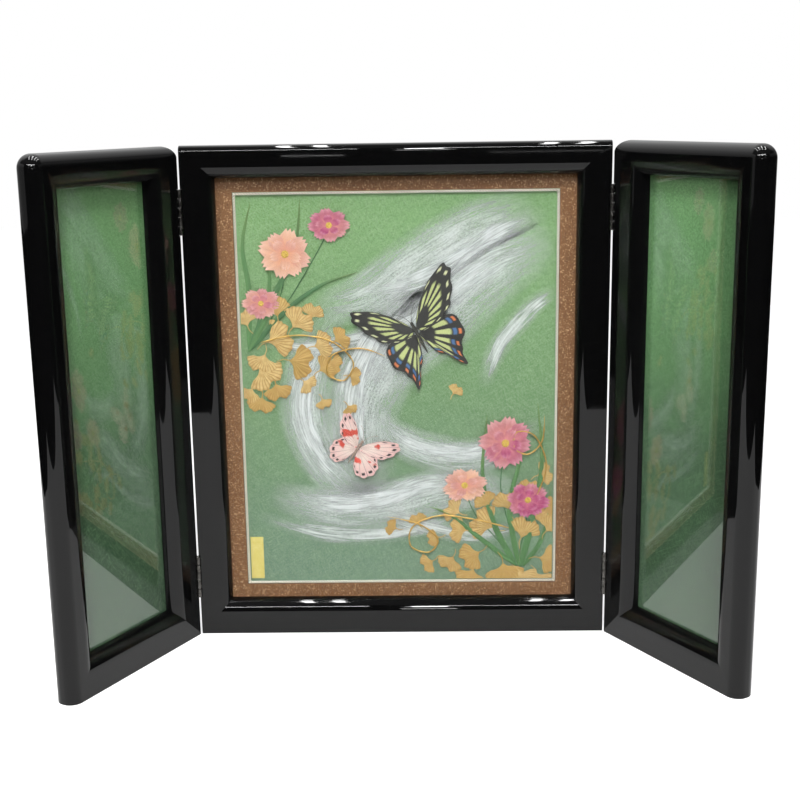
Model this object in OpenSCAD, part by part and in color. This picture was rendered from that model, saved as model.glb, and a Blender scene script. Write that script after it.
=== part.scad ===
// Three-panel tabletop folding screen: a framed picture between two folding wings.
// X runs across the centre panel, Y runs from front to back, Z is up.
// The origin is the middle of the centre panel's foot, on the surface it stands on.

/* [Screen] */
// Height of all three panels
screen_h = 430; // [300:5:600]
// Width of the centre panel
centre_w = 358; // [260:2:500]
// Width of each wing
wing_w = 164; // [120:1:240]
// Thickness of the frames
frame_t = 22; // [21.5:0.5:30]
// How far the left wing stands forward of the centre panel's plane, in degrees
left_fold = 62; // [0:1:90]
// How far the right wing stands forward of the centre panel's plane, in degrees
right_fold = 59; // [0:1:90]

/* [Centre frame] */
// Face width of the centre top rail
centre_top_w = 27.5; // [25:0.5:40]
// Face width of the centre bottom rail
centre_bottom_w = 30.5; // [25:0.5:45]
// Face width of the centre stiles
centre_stile_w = 27.5; // [25:0.5:40]
// Rounding along the top of the centre frame
centre_top_round = 6; // [2:0.5:8]

/* [Wing frames] */
// Face width of the wing top rails
wing_top_w = 27.5; // [25:0.5:40]
// Face width of the wing bottom rails
wing_bottom_w = 32; // [25:0.5:45]
// Face width of the wing stiles that carry the hinges
wing_hinge_stile_w = 32; // [25:0.5:40]
// Face width of the wing stiles at the free edge
wing_outer_stile_w = 29.5; // [26:0.5:40]
// Bullnose radius along the wing tops and free edges
wing_round = 10; // [5:0.5:10.5]
// Radius of the wings' top corners, seen from the front
wing_corner = 11; // [10.5:0.5:13]

/* [Moulding] */
// Radius of the quarter round that falls to the picture opening
sight_round = 11.8; // [8:0.2:11.8]
// Small rounding on the long edges beside the hinges
edge_round = 0.6; // [0.6:0.1:2]
// How far the rabbet reaches outwards behind the sight edge
rabbet_w = 6; // [4:0.5:7]
// How far the back panel's rebate reaches outwards behind the sight edge
rebate_w = 14; // [12:0.5:15]
// Play round everything that lies in a rabbet or rebate
lay_gap = 0.4; // [0.2:0.1:1]

/* [Glass and picture] */
// Thickness of the glass sheets
glass_t = 2; // [1.5:0.1:2.5]
// Thickness of the centre mat
mat_t = 2; // [1.5:0.1:2.5]
// Thickness of the picture boards
picture_t = 2; // [1:0.1:2.5]
// Thickness of the back panels
back_t = 3; // [2.5:0.1:3.2]
// Visible width of the mat at each side
mat_side = 13.5; // [6:0.5:30]
// Visible width of the mat at the top
mat_top = 12; // [6:0.5:30]
// Visible width of the mat at the bottom
mat_bottom = 11; // [6:0.5:30]
// Diameter of the twisted cord that edges the mat opening
cord_d = 2.6; // [1.5:0.1:3]
// Width of the strips that hold the glass off the mat
spacer_w = 4; // [2:0.5:5]
// Width of the blank title slip
slip_w = 11.5; // [6:0.5:20]
// Height of the blank title slip
slip_h = 39; // [15:1:60]
// Thickness of the blank title slip
slip_t = 0.3; // [0.2:0.1:0.6]
// Gap between the title slip and the cord beside it
slip_side_gap = 0.8; // [0.2:0.1:8]
// Gap between the title slip and the cord below it
slip_foot_gap = 2; // [0.2:0.1:8]

/* [Hinges] */
// Length of the butt hinges
hinge_l = 38; // [25:1:60]
// Distance of a hinge's middle from the top or the foot
hinge_inset = 54.5; // [45:0.5:100]
// Width of a hinge leaf, from the pin's axis
leaf_w = 11.5; // [9:0.5:13]
// Thickness of a hinge leaf
leaf_t = 0.8; // [0.6:0.1:1]
// How deep a leaf is let into the wood
leaf_sink = 0.4; // [0.3:0.1:0.5]
// Outer diameter of the hinge knuckles
knuckle_d = 4.3; // [3.6:0.1:5]
// Diameter of the hinge pins
pin_d = 2.2; // [1.5:0.1:2.4]
// Radial clearance of the pins in the knuckles
pin_play = 0.05; // [0.02:0.01:0.1]
// Gap between the centre panel and a wing opened flat
hinge_gap = 0.9; // [0.9:0.05:2]
// How far the pins stand in front of the panels' faces
pin_proud = 0.4; // [0.3:0.05:2]
// Gap between neighbouring knuckles, and round them in the wood
knuckle_gap = 0.25; // [0.15:0.05:0.5]

/* [Fasteners] */
// Diameter of the screws' shanks
screw_d = 2; // [1.6:0.1:2.4]
// Diameter of the screws' countersunk heads
screw_head_d = 4; // [3.4:0.1:4.6]
// Length of the screws
screw_l = 9; // [6:0.5:11]
// Radial clearance of the screws in their holes
screw_play = 0.1; // [0.05:0.05:0.3]
// Distance of the back screws from the sight edge, outwards
back_screw_out = 10; // [9:0.5:10.5]
// Length of the wooden keys across the mitres
key_l = 9; // [6:0.5:10]
// Width of the wooden keys along the mitres
key_w = 6; // [4:0.5:7]
// Thickness of the wooden keys
key_t = 2.5; // [2:0.1:3]

/* [Hidden] */
$fn = 96;
over = 1;           // how far a cut runs past the wood
seam = 0.05;        // play between a glued piece and what it lies against
blunt = 0.3;        // a rail's square corner, so that its mitre has no knife edge
knuckles = 5;

// The layers behind the sight edge, as depths from the front face
glass_d = sight_round;
behind_glass_d = glass_d + glass_t;
back_d = frame_t - back_t;
picture_d = back_d - picture_t;          // centre picture board
mat_d = picture_d - mat_t;
wing_picture_d = behind_glass_d;

// A panel is [width, left stile, right stile, bottom rail, top rail]
centre = [centre_w, centre_stile_w, centre_stile_w, centre_bottom_w, centre_top_w];
wing = [wing_w, wing_hinge_stile_w, wing_outer_stile_w, wing_bottom_w, wing_top_w];
function sight_x(panel, right) = right ? panel[0] - panel[2] : panel[1];
function sight_z(panel, top) = top ? screen_h - panel[4] : panel[3];
function sight_w(panel) = sight_x(panel, true) - sight_x(panel, false);
function sight_h(panel) = sight_z(panel, true) - sight_z(panel, false);

// Where the flat faces of two rails begin to meet, and the corner where their seam ends
function outward(right, top) = [right ? 1 : -1, top ? 1 : -1];
function sight_corner(panel, right, top) = [sight_x(panel, right), sight_z(panel, top)];
function flat_corner(panel, right, top) =
    sight_corner(panel, right, top) + sight_round * outward(right, top);
function outer_corner(panel, right, top) = [right ? panel[0] : 0, top ? screen_h : 0];
function run_past(from, to) = to + over * (to - from) / norm(to - from);

// The seam between two rails: square across the quarter round, then out to the corner
function seam_line(panel, right, top, corner_round = 0) =
    let (out = outward(right, top))
    let (flat = flat_corner(panel, right, top))
    let (corner = outer_corner(panel, right, top))
    let (inside = [sight_corner(panel, right, top) - over * out, flat])
    corner_round > 0 ? concat(inside, [corner - corner_round * out, corner + over * out])
        : concat(inside, [run_past(flat, corner - [0, blunt * out[1]])]);
function reversed(list) = [for (i = [len(list) - 1:-1:0]) list[i]];

wood_colour = [0.04, 0.04, 0.04];
steel_colour = [0.25, 0.25, 0.26];
glass_colour = [0.75, 0.85, 0.8, 0.3];
paper_colour = [0.45, 0.68, 0.45];
mat_colour = [0.55, 0.38, 0.26];
cord_colour = [0.88, 0.86, 0.75];
slip_colour = [0.86, 0.72, 0.3];
card_colour = [0.7, 0.58, 0.42];
board_colour = [0.42, 0.28, 0.18];

// Extrusions of an outline along each axis; depth is Y, from the front face
module along_x(length) { rotate([90, 0, 90]) linear_extrude(length) children(); }
module along_y(length) { translate([0, length, 0]) rotate([90, 0, 0]) linear_extrude(length) children(); }

// What a rounding of radius r takes off the corner of an outline that opens towards +X +Y
module round_waste(r) {
    difference() {
        translate([-over, -over]) square(r + over);
        translate([r, r]) circle(r);
    }
}

// ---- Rails and stiles, in a panel's own frame: its left edge at x = 0, its front at y = 0 ----

module long_edge_waste(x, right) {
    translate([x, 0, -over]) mirror([right ? 1 : 0, 0, 0]) linear_extrude(screen_h + 2 * over) {
        round_waste(edge_round);
        translate([0, frame_t]) mirror([0, 1]) round_waste(edge_round);
    }
}

module top_edge_waste(panel, r) {
    translate([-over, 0, screen_h]) along_x(panel[0] + 2 * over) mirror([0, 1]) {
        round_waste(r);
        translate([frame_t, 0]) mirror([1, 0]) round_waste(r);
    }
}

// The rabbet for glass and picture, and the shallower rebate for the back panel
module rear_waste(panel) {
    translate([sight_x(panel, false) - rabbet_w, sight_round, sight_z(panel, false) - rabbet_w])
        cube([sight_w(panel) + 2 * rabbet_w, frame_t, sight_h(panel) + 2 * rabbet_w]);
    translate([sight_x(panel, false) - rebate_w, back_d, sight_z(panel, false) - rebate_w])
        cube([sight_w(panel) + 2 * rebate_w, frame_t, sight_h(panel) + 2 * rebate_w]);
}

module seam_prism(points) {
    translate([0, -over, 0]) along_y(frame_t + 2 * over) polygon(points);
}

// A rail with a rounded corner stops short of it, and the corner piece comes as its child
module horizontal_rail(panel, top, corner = 0) {
    low = top ? sight_z(panel, true) : 0;
    intersection() {
        union() {
            difference() {
                translate([0, 0, low])
                    cube([panel[0] - corner, frame_t, top ? panel[4] : panel[3]]);
                translate([-over, 0, sight_z(panel, top)]) along_x(panel[0] + 2 * over)
                    mirror([0, top ? 0 : 1]) round_waste(sight_round);
                if (corner > 0) top_edge_waste(panel, wing_round);
            }
            children();
        }
        seam_prism(concat(seam_line(panel, false, top),
            reversed(seam_line(panel, true, top, corner))));
    }
}

module stile(panel, right, corner = 0) {
    low = right ? sight_x(panel, true) : 0;
    intersection() {
        union() {
            difference() {
                translate([low, 0, 0])
                    cube([right ? panel[2] : panel[1], frame_t, screen_h - corner]);
                translate([sight_x(panel, right), 0, -over]) linear_extrude(screen_h + 2 * over)
                    mirror([right ? 0 : 1, 0]) round_waste(sight_round);
                if (corner > 0) free_edge_waste();
            }
            children();
        }
        seam_prism(concat(seam_line(panel, right, false),
            reversed(seam_line(panel, right, true, corner))));
    }
}

// ---- Fasteners ----

module screw_form(play = 0) {
    head_h = (screw_head_d - screw_d) / 2;
    cylinder(h = head_h, r1 = screw_head_d / 2 + play, r2 = screw_d / 2 + play);
    cylinder(h = screw_l + play, r = screw_d / 2 + play);
}

module screw() {
    slot_w = 0.6;
    difference() {
        screw_form();
        cube([slot_w, screw_head_d + over, slot_w], center = true);
        cube([screw_head_d + over, slot_w, slot_w], center = true);
    }
}

// One key lies across the middle of each mitre's straight part
module keys(panel, play = 0) {
    for (right = [false, true], top = [false, true]) {
        middle = (flat_corner(panel, right, top) + outer_corner(panel, right, top)) / 2;
        translate([middle[0], frame_t / 2, middle[1]]) rotate([0, right == top ? 45 : -45, 0])
            cube([key_l + 2 * play, key_t + 2 * play, key_w + 2 * play], center = true);
    }
}

// Places of the back screws, as [x, z] round the sight opening
function back_screw_places(panel) =
    let (x0 = sight_x(panel, false) - back_screw_out)
    let (x1 = sight_x(panel, true) + back_screw_out)
    let (z0 = sight_z(panel, false) - back_screw_out)
    let (z1 = sight_z(panel, true) + back_screw_out)
    let (columns = sight_w(panel) > 200 ? [0.1, 0.5, 0.9] : [0.2, 0.8])
    concat([for (c = columns, z = [z0, z1]) [x0 + c * (x1 - x0), z]],
        [for (r = [0.2, 0.5, 0.8], x = [x0, x1]) [x, z0 + r * (z1 - z0)]]);

module at_back_screws(panel) {
    for (place = back_screw_places(panel))
        translate([place[0], frame_t, place[1]]) rotate([90, 0, 0]) children();
}

// ---- Hinges, in a frame with the pin along Z through the origin and the wood towards +X ----

leaf_face = hinge_gap / 2 - (leaf_t - leaf_sink);       // the leaf's bare face
knuckle_h = hinge_l / knuckles;
leaf_screw_places = [for (z = [0.18, 0.82]) [(leaf_w + knuckle_d / 2) / 2, z * hinge_l]];

module at_leaf_screws() {
    for (place = leaf_screw_places)
        translate([leaf_face, place[0], place[1]]) rotate([0, 90, 0]) children();
}

// first is 0 for the leaf with the end knuckles, 1 for its partner
module leaf(first) {
    clear_y = knuckle_d / 2 + knuckle_gap;
    difference() {
        union() {
            translate([leaf_face, clear_y, 0]) cube([leaf_t, leaf_w - clear_y, hinge_l]);
            for (k = [first:2:knuckles - 1]) {
                low = k * knuckle_h + (k == 0 ? 0 : knuckle_gap / 2);
                high = (k + 1) * knuckle_h - (k == knuckles - 1 ? 0 : knuckle_gap / 2);
                translate([0, 0, low]) cylinder(h = high - low, d = knuckle_d);
                translate([leaf_face, 0, low]) cube([leaf_t, clear_y + seam, high - low]);
            }
        }
        translate([0, 0, -over]) cylinder(h = hinge_l + 2 * over, r = pin_d / 2 + pin_play);
        at_leaf_screws() screw_form(screw_play);
    }
}

// What a leaf, its knuckles and its screws take out of the wood
module leaf_waste() {
    translate([-over, 0, -lay_gap / 2])
        cube([leaf_face + leaf_t + over, leaf_w + lay_gap / 2, hinge_l + lay_gap]);
    translate([0, 0, -knuckle_gap])
        cylinder(h = hinge_l + 2 * knuckle_gap, r = knuckle_d / 2 + knuckle_gap);
    at_leaf_screws() screw_form(screw_play);
}

// ---- Placing ----

module hinge_levels(upper) {
    translate([0, 0, upper ? screen_h - hinge_inset - hinge_l / 2 : hinge_inset - hinge_l / 2])
        children();
}

module both_levels() {
    hinge_levels(false) children();
    hinge_levels(true) children();
}

module in_centre() { translate([-centre_w / 2, -frame_t / 2, 0]) children(); }

// The pin's frame on one side of the screen, seen from the wing; side is -1 or 1
module at_pin(side) {
    translate([side * (centre_w + hinge_gap) / 2, -frame_t / 2 - pin_proud, 0])
        mirror([side < 0 ? 1 : 0, 0, 0]) children();
}

module turned(side) { at_pin(side) rotate([0, 0, side < 0 ? -left_fold : -right_fold]) children(); }

module in_wing(side) { turned(side) translate([hinge_gap / 2, pin_proud, 0]) children(); }

// The pin's frame with the wood of the centre panel towards +X
module at_centre_leaf(side) { at_pin(side) mirror([1, 0, 0]) children(); }

// ---- Centre panel ----

// The rails of the centre frame, with all that is cut out of them
module centre_wood() {
    difference() {
        in_centre() difference() {
            children();
            long_edge_waste(0, false);
            long_edge_waste(centre_w, true);
            top_edge_waste(centre, centre_top_round);
            rear_waste(centre);
            keys(centre, seam);
            at_back_screws(centre) screw_form(screw_play);
        }
        for (side = [-1, 1]) at_centre_leaf(side) both_levels() leaf_waste();
    }
}

module centre_top_rail() { color(wood_colour) centre_wood() horizontal_rail(centre, true); }
module centre_bottom_rail() { color(wood_colour) centre_wood() horizontal_rail(centre, false); }
module centre_left_stile() { color(wood_colour) centre_wood() stile(centre, false); }
module centre_right_stile() { color(wood_colour) centre_wood() stile(centre, true); }
module centre_corner_keys() { color(board_colour) in_centre() keys(centre); }

// A sheet that lies in a panel's rabbet, between two depths
module sheet(panel, from_d, to_d, reach) {
    translate([sight_x(panel, false) - reach + lay_gap, from_d, sight_z(panel, false) - reach + lay_gap])
        cube([sight_w(panel) + 2 * (reach - lay_gap), to_d - from_d,
            sight_h(panel) + 2 * (reach - lay_gap)]);
}

module centre_glass() { color(glass_colour) in_centre() sheet(centre, glass_d, behind_glass_d, rabbet_w); }

module spacer_strips() {
    inner = rabbet_w - lay_gap - spacer_w;
    color(board_colour) in_centre() difference() {
        sheet(centre, behind_glass_d, mat_d, rabbet_w);
        translate([sight_x(centre, false) - inner, 0, sight_z(centre, false) - inner])
            cube([sight_w(centre) + 2 * inner, frame_t, sight_h(centre) + 2 * inner]);
        // cut into four strips at the corners
        for (z = [sight_z(centre, false) - inner, sight_z(centre, true) + inner])
            translate([0, 0, z - seam]) cube([centre_w, frame_t, 2 * seam]);
    }
}

// The mat's opening, from its lower left corner, and a frame-wide module to place things in it
mat_x = centre_stile_w + mat_side;
mat_z = centre_bottom_w + mat_bottom;
mat_open_w = centre_w - 2 * mat_x;
mat_open_h = screen_h - centre_top_w - mat_top - mat_z;

module mat() {
    color(mat_colour) in_centre() difference() {
        sheet(centre, mat_d, picture_d, rabbet_w);
        translate([mat_x, 0, mat_z]) cube([mat_open_w, frame_t, mat_open_h]);
    }
}

module mat_cord() {
    inset = cord_d / 2 + seam;
    color(cord_colour) in_centre() translate([mat_x, picture_d - inset, mat_z]) {
        for (z = [inset, mat_open_h - inset])
            translate([seam, 0, z]) rotate([0, 90, 0]) cylinder(h = mat_open_w - 2 * seam, d = cord_d);
        for (x = [inset, mat_open_w - inset])
            translate([x, 0, seam]) cylinder(h = mat_open_h - 2 * seam, d = cord_d);
    }
}

module centre_picture() { color(paper_colour) in_centre() sheet(centre, picture_d, back_d, rabbet_w); }

module title_slip() {
    color(slip_colour) in_centre()
        translate([mat_x + cord_d + slip_side_gap, picture_d - slip_t, mat_z + cord_d + slip_foot_gap])
            cube([slip_w, slip_t, slip_h]);
}

module back_panel(panel) {
    difference() {
        sheet(panel, back_d, frame_t, rebate_w);
        at_back_screws(panel) screw_form(screw_play);
    }
}

module centre_back_panel() { color(board_colour) in_centre() back_panel(centre); }
module centre_back_screws() { color(steel_colour) in_centre() at_back_screws(centre) screw(); }

module centre_leaf_screws() {
    color(steel_colour) for (side = [-1, 1]) at_centre_leaf(side) both_levels() at_leaf_screws() screw();
}

module fixed_leaf(side, upper) {
    color(steel_colour) at_centre_leaf(side) hinge_levels(upper) leaf(0);
}

module pin(side, upper) {
    color(steel_colour) at_pin(side) hinge_levels(upper) cylinder(h = hinge_l, d = pin_d);
}

// ---- Wings: side is -1 for the left wing and 1 for the right one ----

// The rounded corner at the top of a wing's free edge, a quarter turn of the bullnose
module corner_piece() {
    translate([wing_w - wing_corner, frame_t, screen_h - wing_corner])
        rotate([90, 0, 0]) rotate_extrude(angle = 90) difference() {
            square([wing_corner, frame_t]);
            translate([wing_corner, 0]) mirror([1, 0]) round_waste(wing_round);
            translate([wing_corner, frame_t]) mirror([1, 0]) mirror([0, 1]) round_waste(wing_round);
        }
}

module free_edge_waste() {
    translate([wing_w, 0, -over]) linear_extrude(screen_h + 2 * over) mirror([1, 0]) {
        round_waste(wing_round);
        translate([0, frame_t]) mirror([0, 1]) round_waste(wing_round);
    }
}

module wing_wood() {
    difference() {
        children();
        long_edge_waste(0, false);
        rear_waste(wing);
        translate([0, -over, screen_h]) along_y(frame_t + 2 * over) mirror([0, 1])
            round_waste(wing_corner);
        keys(wing, seam);
        at_back_screws(wing) screw_form(screw_play);
        translate([-hinge_gap / 2, -pin_proud, 0]) both_levels() leaf_waste();
    }
}

module wing_top_rail(side) {
    color(wood_colour) in_wing(side) wing_wood() horizontal_rail(wing, true, wing_corner) corner_piece();
}

module wing_bottom_rail(side) {
    color(wood_colour) in_wing(side) wing_wood() difference() {
        horizontal_rail(wing, false);
        free_edge_waste();
    }
}

module wing_hinge_stile(side) {
    color(wood_colour) in_wing(side) wing_wood() difference() {
        stile(wing, false);
        top_edge_waste(wing, wing_round);
    }
}

module wing_outer_stile(side) {
    color(wood_colour) in_wing(side) wing_wood() stile(wing, true, wing_corner) corner_piece();
}

module wing_keys(side) { color(board_colour) in_wing(side) keys(wing); }
module wing_glass(side) { color(glass_colour) in_wing(side) sheet(wing, glass_d, behind_glass_d, rabbet_w); }

module wing_picture(side) {
    color(paper_colour) in_wing(side) sheet(wing, wing_picture_d, wing_picture_d + picture_t, rabbet_w);
}

module backing_card(side) {
    color(card_colour) in_wing(side) sheet(wing, wing_picture_d + picture_t, back_d, rabbet_w);
}

module wing_back_panel(side) { color(board_colour) in_wing(side) back_panel(wing); }
module wing_back_screws(side) { color(steel_colour) in_wing(side) at_back_screws(wing) screw(); }
module wing_leaf(side, upper) { color(steel_colour) turned(side) hinge_levels(upper) leaf(1); }

module wing_leaf_screws(side) {
    color(steel_colour) turned(side) both_levels() at_leaf_screws() screw();
}

centre_top_rail();
centre_bottom_rail();
centre_left_stile();
centre_right_stile();
centre_corner_keys();
centre_glass();
spacer_strips();
mat();
mat_cord();
centre_picture();
title_slip();
centre_back_panel();
centre_back_screws();
centre_leaf_screws();
fixed_leaf(-1, true);  // left_upper_fixed_leaf
fixed_leaf(-1, false);  // left_lower_fixed_leaf
fixed_leaf(1, true);  // right_upper_fixed_leaf
fixed_leaf(1, false);  // right_lower_fixed_leaf
pin(-1, true);  // left_upper_pin
pin(-1, false);  // left_lower_pin
pin(1, true);  // right_upper_pin
pin(1, false);  // right_lower_pin
wing_top_rail(-1);  // left_top_rail
wing_bottom_rail(-1);  // left_bottom_rail
wing_hinge_stile(-1);  // left_hinge_stile
wing_outer_stile(-1);  // left_outer_stile
wing_keys(-1);  // left_corner_keys
wing_glass(-1);  // left_glass
wing_picture(-1);  // left_picture
backing_card(-1);  // left_backing_card
wing_back_panel(-1);  // left_back_panel
wing_back_screws(-1);  // left_back_screws
wing_leaf(-1, true);  // left_upper_wing_leaf
wing_leaf(-1, false);  // left_lower_wing_leaf
wing_leaf_screws(-1);  // left_leaf_screws
wing_top_rail(1);  // right_top_rail
wing_bottom_rail(1);  // right_bottom_rail
wing_hinge_stile(1);  // right_hinge_stile
wing_outer_stile(1);  // right_outer_stile
wing_keys(1);  // right_corner_keys
wing_glass(1);  // right_glass
wing_picture(1);  // right_picture
backing_card(1);  // right_backing_card
wing_back_panel(1);  // right_back_panel
wing_back_screws(1);  // right_back_screws
wing_leaf(1, true);  // right_upper_wing_leaf
wing_leaf(1, false);  // right_lower_wing_leaf
wing_leaf_screws(1);  // right_leaf_screws
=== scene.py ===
import math
import random

import bmesh
import bpy
from mathutils import Matrix, Vector


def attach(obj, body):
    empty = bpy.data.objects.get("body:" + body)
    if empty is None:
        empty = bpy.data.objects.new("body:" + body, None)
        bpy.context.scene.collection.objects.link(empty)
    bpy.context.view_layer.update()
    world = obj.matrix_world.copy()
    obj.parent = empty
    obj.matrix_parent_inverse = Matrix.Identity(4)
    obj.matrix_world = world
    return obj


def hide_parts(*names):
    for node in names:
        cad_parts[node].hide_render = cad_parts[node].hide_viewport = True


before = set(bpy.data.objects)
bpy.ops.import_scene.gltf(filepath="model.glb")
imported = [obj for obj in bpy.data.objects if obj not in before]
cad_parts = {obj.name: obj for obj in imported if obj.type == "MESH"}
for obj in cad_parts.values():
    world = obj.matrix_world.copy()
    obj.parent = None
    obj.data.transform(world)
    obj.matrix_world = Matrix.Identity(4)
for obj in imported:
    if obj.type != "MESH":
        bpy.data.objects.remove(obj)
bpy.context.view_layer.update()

# Everything is modelled in millimetres and set in its place in metres
toMetres = 0.001
wingSides = ("left", "right")

cameraChoices = {
    "place": (21.49, -1095.73, 461.38),
    "downTilt": 12.877,
    "turn": 1.061,
    "roll": -0.822,
    "lens": 58.32,
    "sensor": 36,
    "clip": (0.01, 60),
}


def turned(degrees, axis):
    return Matrix.Rotation(math.radians(degrees), 4, axis)


def moved(x, y, z):
    return Matrix.Translation((x, y, z))


def setCamera(choices):
    bpy.ops.object.camera_add()
    camera = bpy.context.object
    spot = moved(*(Vector(choices["place"]) * toMetres))
    aim = turned(choices["turn"], "Z") @ turned(90 - choices["downTilt"], "X") @ turned(choices["roll"], "Z")
    camera.matrix_world = spot @ aim
    camera.data.lens = choices["lens"]
    camera.data.sensor_width = choices["sensor"]
    camera.data.clip_start, camera.data.clip_end = choices["clip"]
    bpy.context.scene.camera = camera


setCamera(cameraChoices)
bpy.context.scene.view_settings.view_transform = "Standard"
print("camera set")


# Modelling helpers

def near(place, *values):
    return all(abs(value - place) < 1e-4 for value in values)


def selectOnly(piece):
    bpy.ops.object.select_all(action="DESELECT")
    piece.select_set(True)
    bpy.context.view_layer.objects.active = piece


def keepPlace():
    bpy.ops.object.transform_apply(location=True, rotation=True, scale=True)


# A primitive added with nothing else selected, its place kept in its mesh
def primitive(operator, **settings):
    bpy.ops.object.select_all(action="DESELECT")
    operator(**settings)
    keepPlace()
    return bpy.context.object


def block(low, high):
    low, high = Vector(low), Vector(high)
    bpy.ops.object.select_all(action="DESELECT")
    bpy.ops.mesh.primitive_cube_add(size=1, location=(low + high) / 2)
    bpy.context.object.scale = high - low
    bpy.ops.object.transform_apply(location=True, rotation=False, scale=True)
    return bpy.context.object


# A cylinder along Z between two levels
def rod(sides, radius, low, high, x=0, y=0):
    return primitive(bpy.ops.mesh.primitive_cylinder_add, vertices=sides, radius=radius, depth=high - low,
                     location=(x, y, (low + high) / 2))


def movePoints(piece, places):
    for vertex, place in zip(piece.data.vertices, places):
        vertex.co = place


def openForEdit(piece, mode="VERT", everything=False):
    selectOnly(piece)
    bpy.ops.object.mode_set(mode="EDIT")
    bpy.ops.mesh.select_mode(type=mode)
    bpy.ops.mesh.select_all(action="SELECT" if everything else "DESELECT")
    return bmesh.from_edit_mesh(piece.data)


def closeEdit():
    bpy.ops.object.mode_set(mode="OBJECT")


# Opens a piece and selects the faces whose points all pass the test
def selectFaces(piece, test):
    work = openForEdit(piece, "FACE")
    for face in work.faces:
        face.select_set(all(test(vertex.co) for vertex in face.verts))
    bmesh.update_edit_mesh(piece.data)


# Rounds the edges whose two ends pass the test
def roundEdges(piece, radius, segments, test):
    work = openForEdit(piece, "EDGE")
    for edge in work.edges:
        edge.select_set(test(edge.verts[0].co, edge.verts[1].co))
    bmesh.update_edit_mesh(piece.data)
    bpy.ops.mesh.bevel(offset=radius, segments=segments, profile=0.5, affect="EDGES", clamp_overlap=False)
    closeEdit()


def faceOutwards(piece, mergeBy=1e-5):
    openForEdit(piece, everything=True)
    bpy.ops.mesh.remove_doubles(threshold=mergeBy)
    bpy.ops.mesh.normals_make_consistent(inside=False)
    closeEdit()


def applyModifier(piece, kind, **settings):
    step = piece.modifiers.new("step", kind)
    for key, value in settings.items():
        setattr(step, key, value)
    selectOnly(piece)
    bpy.ops.object.modifier_apply(modifier=step.name)


def cut(piece, cutter, operation="DIFFERENCE"):
    applyModifier(piece, "BOOLEAN", operation=operation, solver="EXACT", object=cutter)
    bpy.data.objects.remove(cutter)


# A flat outline in X and Z, drawn from a circle's points and pulled back along Y
def prism(outline, front, back):
    piece = primitive(bpy.ops.mesh.primitive_circle_add, vertices=len(outline), radius=1, fill_type="NGON")
    movePoints(piece, [(x, front, z) for x, z in outline])
    openForEdit(piece, everything=True)
    bpy.ops.mesh.extrude_region_move(TRANSFORM_OT_translate={"value": (0, back - front, 0)})
    closeEdit()
    faceOutwards(piece)
    return piece


def copyOf(piece):
    twin = piece.copy()
    twin.data = piece.data.copy()
    bpy.context.collection.objects.link(twin)
    return twin


def joined(pieces):
    selectOnly(pieces[0])
    for piece in pieces:
        piece.select_set(True)
    if len(pieces) > 1:
        bpy.ops.object.join()
    return pieces[0]


# Puts a piece at its place in metres, leaving its object at the origin
def settle(piece, place):
    piece.matrix_world = Matrix.Scale(toMetres, 4) @ place
    selectOnly(piece)
    keepPlace()
    if place.determinant() < 0:
        faceOutwards(piece, 1e-7)
    return piece


def smooth(piece, angle, weighted=False):
    selectOnly(piece)
    bpy.ops.object.shade_smooth_by_angle(angle=math.radians(angle))
    if weighted:
        applyModifier(piece, "WEIGHTED_NORMAL", keep_sharp=True, weight=80)


def finishPiece(piece, name, body, slot, material, *nodes):
    piece.name = name
    piece.data.name = name
    piece.data.materials.clear()
    piece.data.materials.append(material)
    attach(piece, body)
    if nodes:
        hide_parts(*nodes)


# Settles, smooths and finishes one piece; with a weight, its large faces keep their shine flat
def placePiece(piece, place, angle, weighted, *tags):
    settle(piece, place)
    smooth(piece, angle, weighted)
    finishPiece(piece, *tags)


def paintNode(name, material):
    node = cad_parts[name]
    if not node.material_slots:
        node.data.materials.append(material)
    for slot in node.material_slots:
        slot.material = material


# Shader helpers: each adds its nodes to the tree that was started last

tree = None


def startTree(nodeTree):
    global tree
    tree = nodeTree
    tree.nodes.clear()


def feed(socket, value):
    if isinstance(value, bpy.types.NodeSocket):
        tree.links.new(value, socket)
    else:
        socket.default_value = (*value, 1) if socket.type == "RGBA" else value


def addNode(kind, inputs=None, **settings):
    node = tree.nodes.new(kind)
    for key, value in settings.items():
        setattr(node, key, value)
    for key, value in (inputs or {}).items():
        feed(node.inputs[key], value)
    return node


def maths(operation, *values):
    return addNode("ShaderNodeMath", dict(enumerate(values)), operation=operation).outputs[0]


def plus(a, b):
    return maths("ADD", a, b)


def minus(a, b):
    return maths("SUBTRACT", a, b)


def times(a, b, *more):
    product = maths("MULTIPLY", a, b)
    return times(product, *more) if more else product


def spread(value, fromLow, fromHigh, toLow=0.0, toHigh=1.0, kind="LINEAR"):
    inputs = {"Value": value, "From Min": fromLow, "From Max": fromHigh, "To Min": toLow, "To Max": toHigh}
    return addNode("ShaderNodeMapRange", inputs, interpolation_type=kind).outputs[0]


def blend(factor, a, b):
    return addNode("ShaderNodeMix", {0: factor, 6: a, 7: b}, data_type="RGBA").outputs[2]


def ramp(value, *stops):
    node = addNode("ShaderNodeValToRGB", {"Fac": value})
    marks = node.color_ramp.elements
    while len(marks) < len(stops):
        marks.new(0.5)
    for mark, (place, colour) in zip(marks, stops):
        mark.position = place
        mark.color = (*colour, 1)
    return node.outputs["Color"]


def noise(vector, scale, detail=2.0, roughness=0.5):
    inputs = {"Vector": vector, "Scale": scale, "Detail": detail, "Roughness": roughness}
    return addNode("ShaderNodeTexNoise", inputs).outputs["Fac"]


def attribute(name):
    return addNode("ShaderNodeAttribute", attribute_name=name).outputs["Fac"]


def objectPlace():
    return addNode("ShaderNodeTexCoord").outputs["Object"]


def mapped(vector, **settings):
    return addNode("ShaderNodeMapping", {"Vector": vector, **settings}).outputs["Vector"]


def parts(vector):
    return addNode("ShaderNodeSeparateXYZ", {"Vector": vector}).outputs


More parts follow.
